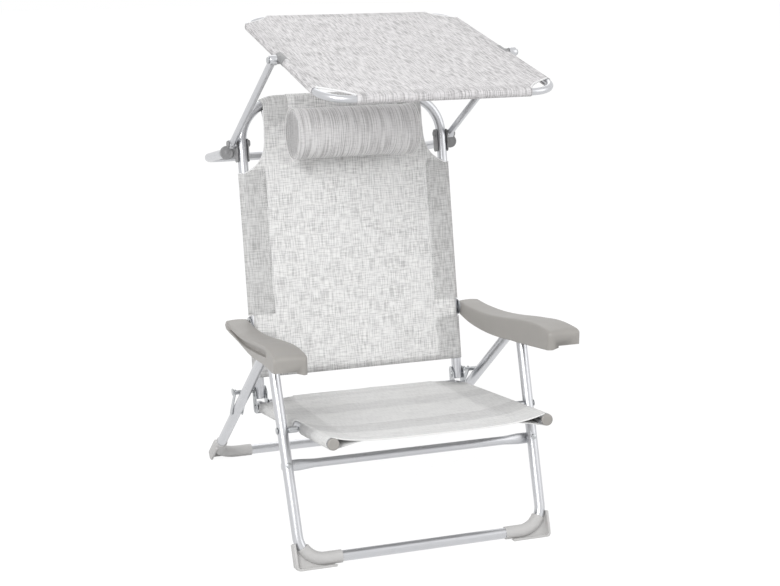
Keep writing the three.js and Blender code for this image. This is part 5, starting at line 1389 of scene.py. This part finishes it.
class LOUNGER_OT_back_sling(bpy.types.Operator):
    """The back sling: sleeves round the side tubes, piped shoulder cuts and a neck over the top tube"""

    bl_idname = "lounger.back_sling"
    bl_label = "Back Sling"

    def execute(self, context):
        sizes = Millimetres(context)
        bottom, hem_line = 36.0, 581.0
        radius, front = SLEEVE, -SLEEVE
        # The sleeves are open round the armrests' pins
        cut_low, cut_high = ARM_PIVOT_UP - 21, ARM_PIVOT_UP + 21
        bm = cloth_bmesh()

        def is_band(x, up):
            beside = abs(x) > BACK_HALF - sizes.back_band and up < SHOULDER + 6
            open_patch = cut_low < up < cut_high
            return 1.0 if beside and not open_patch else 0.0

        def sheet_point(share, up):
            half = back_half(up)
            x = share * half
            dip = wrinkle(x, up, 70, 1.6) * (1 - share**6)
            hollow = 2.5 * (1 - share**4) * smoothstep(bottom, 140, up) * (1 - smoothstep(480, 600, up))
            return Vector((x, front + hollow + dip * smoothstep(bottom, 120, up), up))

        def sheet_place(share, up):
            point = sheet_point(share, up)
            doubled = max(is_band(point.x, up), 1.0 if up < bottom + sizes.bottom_hem else 0.0)
            doubled = max(doubled, 1.0 if up > hem_line else 0.0)
            return point, (point.x, up), doubled

        shares = [k / 44 for k in range(-44, 45)]
        rows = marks(*steps_between(bottom, SHOULDER, 9), cut_low, cut_high, bottom + sizes.bottom_hem)
        rows += [z for _, z in SHOULDER_CURVE[1:]]
        rows = marks(*rows, 568, 575, hem_line)
        cloth_grid(bm, shares, rows, sheet_place)

        # Each sleeve goes round the outside of its tube and comes back to the sheet beside it
        turns = [radians(a) for a in range(-90, 91, 10)] + [radians(a) for a in (105, 125, 145, 165)]
        sleeve_rows = [z for z in rows if z <= SHOULDER + 0.5]
        for side in (-1, 1):

            def sleeve_place(step, up, side=side):
                if step < len(turns):
                    turn = turns[step]
                    point = Vector((BACK_HALF + radius * cos(turn), radius * sin(turn), up))
                    run = BACK_HALF + radius * (turn + pi / 2)
                else:
                    share = (step - len(turns) + 1) / 6
                    start = Vector((BACK_HALF + radius * cos(turns[-1]), radius * sin(turns[-1]), up))
                    inner = Vector((BACK_HALF - 17, front + 2.6, up))
                    end = Vector((BACK_HALF - sizes.back_band, front + 1.6, up))
                    if share <= 1 / 3:
                        point = start.lerp(inner, share * 3)
                    else:
                        point = inner.lerp(end, (share - 1 / 3) * 1.5)
                    run = BACK_HALF + radius * (turns[-1] + pi / 2) + share * 40
                return Vector((side * point.x, point.y, point.z)), (side * run, up), 1.0

            steps = list(range(len(turns) + 6))
            sleeve = cloth_grid(bm, steps, sleeve_rows, sleeve_place)
            open_sleeve(bm, sleeve, sleeve_rows, cut_low, cut_high)

        # The neck goes up over the top tube and is sewn to its own back
        over = [radians(a) for a in range(0, 181, 12)]

        def neck_place(share, step):
            x = share * NECK_HALF
            centre_up, lean = top_tube(x)
            if step <= 0:
                low = Vector((x, front + wrinkle(x, hem_line, 70, 1.6) * (1 - share**6), hem_line))
                high = Vector((x, -radius, centre_up))
                level = step + 1
                point = low.lerp(high, level)
                return point, (x, hem_line + (centre_up - hem_line) * level), 1.0
            if step < len(over):
                turn = over[step]
                out = radius * sin(turn)
                point = Vector((x + out * sin(lean), -radius * cos(turn), centre_up + out * cos(lean)))
                return point, (x, centre_up + radius * turn), 1.0
            level = (step - len(over) + 1) / 5
            start = Vector((x, radius, centre_up))
            mid = Vector((x, front + 6, hem_line + 16))
            end = Vector((x, front + 1.8, hem_line - 4))
            point = start.lerp(mid, level * 1.6) if level <= 0.625 else mid.lerp(end, (level - 0.625) / 0.375)
            return point, (x, centre_up + radius * pi + 52 * level), 1.0

        neck_steps = [-1, -0.66, -0.33, 0] + list(range(1, len(over) + 5))
        cloth_grid(bm, shares, neck_steps, neck_place)
        merge(bm, 0.25)
        on_back = (BACK, "backrest", "sling")
        sheet = make_piece(context, "back_sling", bm, *on_back, "back", ("backrest_cloth",), sharp=70)
        thicken(sheet, sizes.cloth)

        def before_sheet(share, up, side=1):
            point = sheet_point(share, up)
            return Vector((side * point.x, point.y - THREAD_UP, up))

        bm = new_bmesh()
        ups = steps_between(bottom + 3, SHOULDER - 2, 6)
        for side in (-1, 1):
            for inset in (sizes.back_band - 2, sizes.back_band - 5.5):
                share = (BACK_HALF - inset) / BACK_HALF
                stitches(bm, [before_sheet(share, up, side) for up in ups], sizes)
            curve = [Vector((side * (x - 4), front - THREAD_UP, z - 2)) for x, z in SHOULDER_CURVE]
            stitches(bm, curve, sizes)
        for up in (bottom + sizes.bottom_hem - 2, hem_line + 1, hem_line + 4):
            half = back_half(up) - (sizes.back_band if up < SHOULDER else 2)
            line = [before_sheet(x / back_half(up), up) for x in steps_between(-half, half, 8)]
            stitches(bm, line, sizes)
        thread = make_piece(context, "back_sling_stitching", bm, *on_back, "piping", sharp=180)

        bm = new_bmesh()
        for side in (-1, 1):
            edge = [Vector((side * (x + 0.6), front, z)) for x, z in SHOULDER_CURVE]
            edge += [Vector((side * NECK_HALF, front, z)) for z in (570, 581, 592, 603, 614)]
            edge.insert(0, Vector((side * (BACK_HALF + 9), front + 4, SHOULDER - 1.5)))
            cord_along(bm, edge, sizes.piping)

            def around(up, first, steps, side=side):
                turns = [radians(first + 10 * k) for k in range(steps)]
                return [Vector((side * (BACK_HALF + 12.6 * sin(a)), -12.6 * cos(a), up)) for a in turns]

            cord_along(bm, around(SHOULDER, 40, 20), sizes.piping * 0.8)
            for up in (cut_low, cut_high):
                cord_along(bm, around(up, 22, 21), 0.9)
        binding = make_piece(context, "back_sling_piping", bm, *on_back, "piping", sharp=180)
        below = 2 * (BACK_HALF + radius * 4.4 + 40) * (SHOULDER - bottom)
        neck = 2 * 190 * (BACK_TOP - SHOULDER + 90)
        cut_area = (below + neck) * MM * MM
        return {"FINISHED"}


class LOUNGER_OT_canopy_cloth(bpy.types.Operator):
    """The canopy cloth: a slightly sagging sheet with a sleeve on each side and piped corner cuts"""

    bl_idname = "lounger.canopy_cloth"
    bl_label = "Canopy Cloth"

    def execute(self, context):
        sizes = Millimetres(context)
        inset, inset_rear, notch, hollow, band = 60.0, 54.0, 27.0, 0.14, 27
        radius = 7.95
        bm = cloth_bmesh()
        mid_y = (HOOD_FRONT + HOOD_REAR) / 2
        half_y = (HOOD_REAR - HOOD_FRONT) / 2

        def half_at(y):
            """Half width of the sheet. Each corner is cut by a shallow hollow curve."""
            ahead = max(inset - (y - HOOD_FRONT), 0) / inset
            behind = max(inset_rear - (HOOD_REAR - y), 0) / inset_rear
            front_cut = inset * (ahead + hollow * sin(pi * ahead))
            rear_cut = inset_rear * (behind + hollow * sin(pi * behind))
            return HOOD_HALF - front_cut - rear_cut

        def sheet_point(share, y):
            x = share * half_at(y)
            away = (1 - (x / HOOD_HALF) ** 2) * (1 - ((y - mid_y) / half_y) ** 2)
            sag = sizes.hood_sag * max(away, 0) ** 0.8
            return Vector((x, y, radius - sag + wrinkle(x, y, 90, 1.4) * max(away, 0)))

        def sheet_place(share, y):
            point = sheet_point(share, y)
            beside = abs(point.x) > HOOD_HALF - band or abs(y - mid_y) > half_y - band
            return point, (point.x, y), 1.0 if beside else 0.0

        shares = [k / 40 for k in range(-40, 41)]
        rows = marks(
            *[HOOD_FRONT + inset * k / 8 for k in range(9)],
            *steps_between(HOOD_FRONT + inset, HOOD_REAR - inset_rear, 11),
            *[HOOD_REAR - inset_rear * k / 8 for k in range(9)],
            -notch,
            notch,
        )
        cloth_grid(bm, shares, rows, sheet_place)
        turns = [radians(90 - 15 * k) for k in range(18)]

        def around(turn):
            return radius * cos(turn), radius * sin(turn), radius * (pi / 2 - turn)

        # Side sleeves, left open at the sockets
        side_rows = [y for y in rows if HOOD_FRONT + inset - 0.5 <= y <= HOOD_REAR - inset_rear + 0.5]
        for side in (-1, 1):

            def side_place(turn, y, side=side):
                out, up, run = around(turn)
                return Vector((side * (HOOD_HALF + out), y, up)), (side * (HOOD_HALF + run), y), 1.0

            sleeve = cloth_grid(bm, turns, side_rows, side_place)
            open_sleeve(bm, sleeve, side_rows, -notch, notch)

        # Front and rear sleeves
        reach = HOOD_HALF - inset
        for line, outward in ((HOOD_FRONT, -1), (HOOD_REAR, 1)):

            def end_place(turn, share, line=line, outward=outward):
                out, up, run = around(turn)
                point = Vector((share * half_at(line), line + outward * out, up))
                return point, (point.x, line + outward * run), 1.0

            cloth_grid(bm, turns, shares, end_place)
        merge(bm, 0.2)
        on_hood = (HOOD, "canopy", "canopy")
        sheet = make_piece(context, "canopy_sheet", bm, *on_hood, "hood", ("canopy_cloth",), sharp=70)
        thicken(sheet, sizes.cloth)

        bm = new_bmesh()
        for side in (-1, 1):
            for end in (-1, 1):
                edge = []
                for k in range(17):
                    y = HOOD_FRONT + inset * k / 16 if end < 0 else HOOD_REAR - inset_rear * k / 16
                    point = sheet_point(1, y)
                    edge.append(Vector((side * point.x, y, point.z)))
                cord_along(bm, edge, sizes.piping * 1.3)
        binding = make_piece(context, "canopy_piping", bm, *on_hood, "piping", sharp=180)

        def above_sheet(x, y, side=1):
            point = sheet_point(x / half_at(y), y)
            return Vector((side * point.x, y, point.z + THREAD_UP))

        bm = new_bmesh()
        ys = steps_between(HOOD_FRONT + band, HOOD_REAR - band, 8)
        xs = steps_between(-reach - 12, reach + 12, 8)
        for side in (-1, 1):
            beside = [above_sheet(min(HOOD_HALF - 25, half_at(y) - 4), y, side) for y in ys]
            stitches(bm, beside, sizes)
            seam_y = HOOD_FRONT + 25 if side < 0 else HOOD_REAR - 25
            stitches(bm, [above_sheet(x, seam_y) for x in xs], sizes)
        thread = make_piece(context, "canopy_stitching", bm, *on_hood, "piping", sharp=180)
        return {"FINISHED"}


# Head roll

# The roll's middle, its radius and half length, and where it lies flat against the flap
ROLL_Y, ROLL_UP, ROLL_RADIUS, ROLL_HALF, ROLL_BACK = -72.9, 556.0, 58.0, 138.0, -15.1
# How far the piped seam at each end lies inside the roll's radius, and before its flat back
SEAM_IN, SEAM_BEFORE = 1.6, 0.7
# How far the cloth simulation may swell the roll, in metres
SWELLING = 0.005


class LOUNGER_OT_head_roll(bpy.types.Operator):
    """The stuffed head roll and the flap that hangs it from the top tube"""

    bl_idname = "lounger.head_roll"
    bl_label = "Head Roll"

    def execute(self, context):
        sizes = Millimetres(context)
        roll = self.filled_roll(context)

        # Piped seams where the ends are sewn in, and the two little loops at their lowest points
        bm = new_bmesh()
        for side in (-1, 1):
            x = side * (ROLL_HALF - 1.5)
            ring = []
            for turn in (2 * pi * k / 48 for k in range(49)):
                y = ROLL_Y + (ROLL_RADIUS - SEAM_IN) * sin(turn)
                up = ROLL_UP - (ROLL_RADIUS - SEAM_IN) * cos(turn)
                ring.append(Vector((x, min(y, ROLL_BACK - SEAM_BEFORE), up)))
            cord_along(bm, ring, 0.9)
            low = Vector((side * (ROLL_HALF - 4), ROLL_Y - 2, ROLL_UP - ROLL_RADIUS + 2))
            turns = [2 * pi * k / 16 for k in range(17)]
            offsets = [(side * 7 * sin(a), -2 * sin(a / 2), -5.5 * (1 - cos(a)) / 2) for a in turns]
            cord_along(bm, [low + Vector(offset) for offset in offsets], 0.9, 8)
        make_piece(context, "head_roll_piping", bm, BACK, "backrest", "pillow", "pillow", sharp=180)

        # The flap: up behind the roll, over the top tube and down behind
        bm = cloth_bmesh()
        over = [radians(a) for a in range(0, 181, 12)]
        reach, away = 126.0, 13.7
        path = [(ROLL_UP + (BACK_TOP - ROLL_UP) * k / 8, None) for k in range(8)]
        path += [(BACK_TOP, a) for a in over] + [(BACK_TOP - 6 * k, "back") for k in range(1, 9)]

        def flap_place(x, step):
            up, turn = path[step]
            ripple = wrinkle(x, up, 26, 0.5)
            if turn is None:
                point = Vector((x, -away - abs(ripple) * 0.3, up))
            elif turn == "back":
                point = Vector((x, away + abs(ripple), up))
            else:
                point = Vector((x, -away * cos(turn), up + away * sin(turn)))
            return point, (x, step * 5), 1.0 if step > len(path) - 3 else 0.0

        cloth_grid(bm, steps_between(-reach, reach, 6), list(range(len(path))), flap_place)
        bmesh.ops.recalc_face_normals(bm, faces=bm.faces)
        on_back = (BACK, "backrest", "pillow")
        flap = make_piece(context, "head_roll_flap", bm, *on_back, "back", ("pillow_flap",), sharp=70)
        thicken(flap, 1.1)
        bm = new_bmesh()
        hem = BACK_TOP - 44
        for side in (-1, 1):
            for y, low in ((-away - 0.8, ROLL_UP + 52), (away + 1.2, hem)):
                line = [Vector((side * (reach - 4), y, up)) for up in steps_between(low, BACK_TOP, 6)]
                stitches(bm, line, sizes)
        line = [Vector((x, away + 1.3, hem)) for x in steps_between(-reach + 3, reach - 3, 8)]
        stitches(bm, line, sizes)
        thread = make_piece(context, "head_roll_flap_stitching", bm, *on_back, "piping", sharp=180)
        return {"FINISHED"}

    def filled_roll(self, context):
        """A sewn tube of cloth, swollen by cloth simulation and then settled against the flap behind it."""
        half = ROLL_HALF
        bm = new_bmesh()
        body = ROLL_RADIUS - 3.5
        end = [(half - 7, body), (half - 3, body * 0.96), (half - 1.5, body * 0.85)]
        end += [(half - 1, body * 0.5), (half - 1, 0)]
        profile = [(-x, r) for x, r in reversed(end)]
        profile += [(x, body) for x in steps_between(-half + 16, half - 16, 12)] + end
        spun(bm, profile, ROLL_Y, ROLL_UP, 64)
        bmesh.ops.transform(bm, matrix=BACK, verts=bm.verts)
        mesh = bpy.data.meshes.new("head_roll")
        bm.to_mesh(mesh)
        bm.free()
        roll = bpy.data.objects.new("head_roll", mesh)
        context.scene.collection.objects.link(roll)
        context.view_layer.objects.active = roll
        remesh = roll.modifiers.new("even", "REMESH")
        remesh.mode = "VOXEL"
        remesh.voxel_size = 0.005
        self.bake(roll)
        start = [v.co.copy() for v in roll.data.vertices]
        soft = roll.modifiers.new("fill", "CLOTH")
        soft.settings.quality = 5
        soft.settings.mass = 0.3
        soft.settings.tension_stiffness = 30
        soft.settings.bending_stiffness = 2
        soft.settings.use_pressure = True
        soft.settings.uniform_pressure_force = 4
        soft.settings.effector_weights.gravity = 0
        soft.point_cache.frame_start, soft.point_cache.frame_end = 1, 20
        for number in range(1, 21):
            context.scene.frame_set(number)
        self.bake(roll)
        context.scene.frame_set(1)
        for vert, rest in zip(roll.data.vertices, start):
            move = vert.co - rest
            if move.length > SWELLING:
                vert.co = rest + move.normalized() * SWELLING
        into = BACK.inverted()
        places = [into @ v.co for v in roll.data.vertices]
        rim = max(Vector((p.y - ROLL_Y, p.z - ROLL_UP)).length for p in places if abs(p.x) > half - 6)
        for vert in roll.data.vertices:
            at = into @ vert.co
            spread = Vector((0, at.y - ROLL_Y, at.z - ROLL_UP))
            far = spread.length
            # Drawn-in folds where each end is sewn, and a soft unevenness of the filling
            turn = noise.noise(Vector((at.x / 45, spread.y / 30, spread.z / 30))) * 1.3
            folds = 0.7 * sin(at.x / 3.1 + 2 * noise.noise(Vector((at.x / 20, 0, spread.z / 60))))
            near_end = smoothstep(half - 26, half, abs(at.x))
            if far > 20:
                # It stays inside the room of its solid
                sewn = far * (1 + ((ROLL_RADIUS - SEAM_IN) / rim - 1) * near_end)
                wanted = min(sewn + (turn + folds * 0.35) * (1 - near_end), ROLL_RADIUS - 0.2)
                spread *= wanted / far
            at = Vector((at.x, ROLL_Y + spread.y, ROLL_UP + spread.z))
            at.y = min(at.y, ROLL_BACK)
            at.x = max(min(at.x, half + 6.5), -half - 6.5)
            vert.co = BACK @ at
        mesh = roll.data
        # The layers attribute marks the roll's two ends, which its material darkens: painted shade on the ends
        ends = mesh.attributes.new("layers", "FLOAT", "POINT")
        for place, vert in enumerate(mesh.vertices):
            ends.data[place].value = smoothstep(half - 2.5, half - 0.5, abs((into @ vert.co).x))
        mesh.materials.clear()
        mesh.materials.append(finish(context, "pillow"))
        for polygon in mesh.polygons:
            polygon.use_smooth = True
        self.wrap_uv(mesh)
        smoother = roll.modifiers.new("soft", "SUBSURF")
        smoother.levels = smoother.render_levels = 1
        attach(roll, "backrest")
        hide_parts("pillow")
        return roll

    def bake(self, obj):
        """Applies every modifier by taking the evaluated mesh."""
        graph = bpy.context.evaluated_depsgraph_get()
        made = bpy.data.meshes.new_from_object(obj.evaluated_get(graph))
        obj.modifiers.clear()
        obj.data = made

    def wrap_uv(self, mesh):
        """Lays the cloth's UV map round the roll in metres, and flat over its two ends."""
        layer = mesh.uv_layers.new(name="UVMap")
        into = BACK.inverted()
        spots = [into @ v.co for v in mesh.vertices]
        for polygon in mesh.polygons:
            centre = sum((spots[i] for i in polygon.vertices), Vector()) / len(polygon.vertices)
            out = Vector((centre.y - ROLL_Y, centre.z - ROLL_UP)).length
            at_end = abs(centre.x) > ROLL_HALF - 2 and out < ROLL_RADIUS - 4
            for loop in polygon.loop_indices:
                at = spots[mesh.loops[loop].vertex_index]
                if at_end:
                    layer.data[loop].uv = ((at.y - ROLL_Y + 500) * MM, at.z * MM)
                    continue
                turn = Vector((at.z - ROLL_UP, at.y - ROLL_Y)).angle_signed(Vector((-1, 0)), 0)
                here = Vector((centre.z - ROLL_UP, centre.y - ROLL_Y)).angle_signed(Vector((-1, 0)), 0)
                if turn - here > pi:
                    turn -= 2 * pi
                elif here - turn > pi:
                    turn += 2 * pi
                layer.data[loop].uv = (at.x * MM, turn * ROLL_RADIUS * MM)


# Studio


class LOUNGER_OT_studio(bpy.types.Operator):
    """The pale floor, the soft lamps, the white background and the camera"""

    bl_idname = "lounger.studio"
    bl_label = "Studio"

    def execute(self, context):
        scene = context.scene
        camera = bpy.data.cameras.new("camera")
        camera.lens = 74.38
        camera.sensor_width = 36
        camera.sensor_fit = "HORIZONTAL"
        camera.clip_start, camera.clip_end = 0.05, 60
        eye = bpy.data.objects.new("camera", camera)
        scene.collection.objects.link(eye)
        eye.matrix_world = (
            Matrix.Translation((-1.0924, -3.1696, 1.3184))
            @ Matrix.Rotation(radians(-19.656), 4, "Z")
            @ Matrix.Rotation(radians(90 - 14.342), 4, "X")
            @ Matrix.Rotation(radians(0.218), 4, "Z")
        )
        scene.camera = eye

        bm = new_bmesh()
        bmesh.ops.create_grid(bm, x_segments=2, y_segments=2, size=14)
        mesh = bpy.data.meshes.new("studio_floor")
        bm.to_mesh(mesh)
        bm.free()
        mesh.materials.append(self.floor_material())
        floor = bpy.data.objects.new("studio_floor", mesh)
        scene.collection.objects.link(floor)

        for name, place, aim, width, power in (
            ("key_lamp", (-2.4, -2.9, 2.6), (0, 0, 0.5), 2.0, 92),
            ("fill_lamp", (3.0, -2.2, 2.2), (0, 0, 0.5), 2.6, 22),
            ("back_lamp", (0.6, 3.2, 2.8), (0, 0, 0.6), 2.4, 20),
        ):
            lamp = bpy.data.lights.new(name, "AREA")
            lamp.shape = "SQUARE"
            lamp.size = width
            lamp.energy = power
            obj = bpy.data.objects.new(name, lamp)
            scene.collection.objects.link(obj)
            facing = (Vector(aim) - Vector(place)).to_track_quat("-Z", "Y")
            obj.matrix_world = Matrix.Translation(place) @ facing.to_matrix().to_4x4()

        world = bpy.data.worlds.new("white_studio")
        world.use_nodes = True
        tree = world.node_tree
        tree.nodes.clear()
        strength = add(tree, "ShaderNodeMapRange", {0: self.seen(tree), 1: 0.0, 2: 1.0, 3: 0.73, 4: 1.0})
        sky = add(tree, "ShaderNodeBackground", {"Color": (1, 1, 1, 1), "Strength": strength})
        add(tree, "ShaderNodeOutputWorld", {"Surface": sky})
        scene.world = world
        scene.view_settings.view_transform = "Standard"
        return {"FINISHED"}

    def seen(self, tree):
        """1 for rays from the camera and for those that metal and glass send on."""
        path = add(tree, "ShaderNodeLightPath")
        rays = {0: path.outputs["Is Camera Ray"], 1: path.outputs["Is Glossy Ray"]}
        either = add(tree, "ShaderNodeMath", rays, operation="MAXIMUM")
        rays = {0: either, 1: path.outputs["Is Transmission Ray"]}
        return add(tree, "ShaderNodeMath", rays, operation="MAXIMUM")

    def floor_material(self):
        """Seamless white paper: matt, so it only carries a soft shadow."""
        made, tree = start_material("white_paper_floor")
        paper = add(tree, "ShaderNodeBsdfDiffuse", {"Color": (0.74, 0.74, 0.74, 1), "Roughness": 0.9})
        white = add(tree, "ShaderNodeEmission", {"Color": (1, 1, 1, 1), "Strength": 1.1})
        factor = add(tree, "ShaderNodeMath", {0: self.seen(tree), 1: 0.84}, operation="MULTIPLY")
        both = add(tree, "ShaderNodeMixShader", {0: factor, 1: paper, 2: white})
        add(tree, "ShaderNodeOutputMaterial", {"Surface": both})
        return made


OPERATORS = (
    LOUNGER_OT_front_legs,
    LOUNGER_OT_rear_legs,
    LOUNGER_OT_seat_tubes,
    LOUNGER_OT_back_tube,
    LOUNGER_OT_rear_prop,
    LOUNGER_OT_canopy_tubes,
    LOUNGER_OT_feet,
    LOUNGER_OT_seat_caps,
    LOUNGER_OT_fasteners,
    LOUNGER_OT_steel_fittings,
    LOUNGER_OT_clamps,
    LOUNGER_OT_armrests,
    LOUNGER_OT_seat_sling,
    LOUNGER_OT_back_sling,
    LOUNGER_OT_canopy_cloth,
    LOUNGER_OT_head_roll,
    LOUNGER_OT_studio,
)


class LOUNGER_PT_panel(bpy.types.Panel):
    """Builds the lounger piece by piece"""

    bl_idname = "LOUNGER_PT_panel"
    bl_label = "Beach Lounger"
    bl_space_type = "VIEW_3D"
    bl_region_type = "UI"
    bl_category = "Lounger"

    def draw(self, context):
        layout = self.layout
        for operator in OPERATORS:
            layout.operator(operator.bl_idname)
        for group in (context.scene.lounger_sizes, context.scene.lounger_colours):
            box = layout.box()
            for name in group.bl_rna.properties.keys():
                if name not in {"rna_type", "name"}:
                    box.prop(group, name)


CLASSES = (LoungerSizes, LoungerColours, *OPERATORS, LOUNGER_PT_panel)


def register():
    for cls in CLASSES:
        bpy.utils.register_class(cls)
    bpy.types.Scene.lounger_sizes = bpy.props.PointerProperty(type=LoungerSizes)
    bpy.types.Scene.lounger_colours = bpy.props.PointerProperty(type=LoungerColours)


def unregister():
    del bpy.types.Scene.lounger_colours
    del bpy.types.Scene.lounger_sizes
    for cls in reversed(CLASSES):
        bpy.utils.unregister_class(cls)


def main():
    register()
    for operator in OPERATORS:
        family, name = operator.bl_idname.split(".")
        getattr(getattr(bpy.ops, family), name)()


if __name__ == "__main__":
    main()
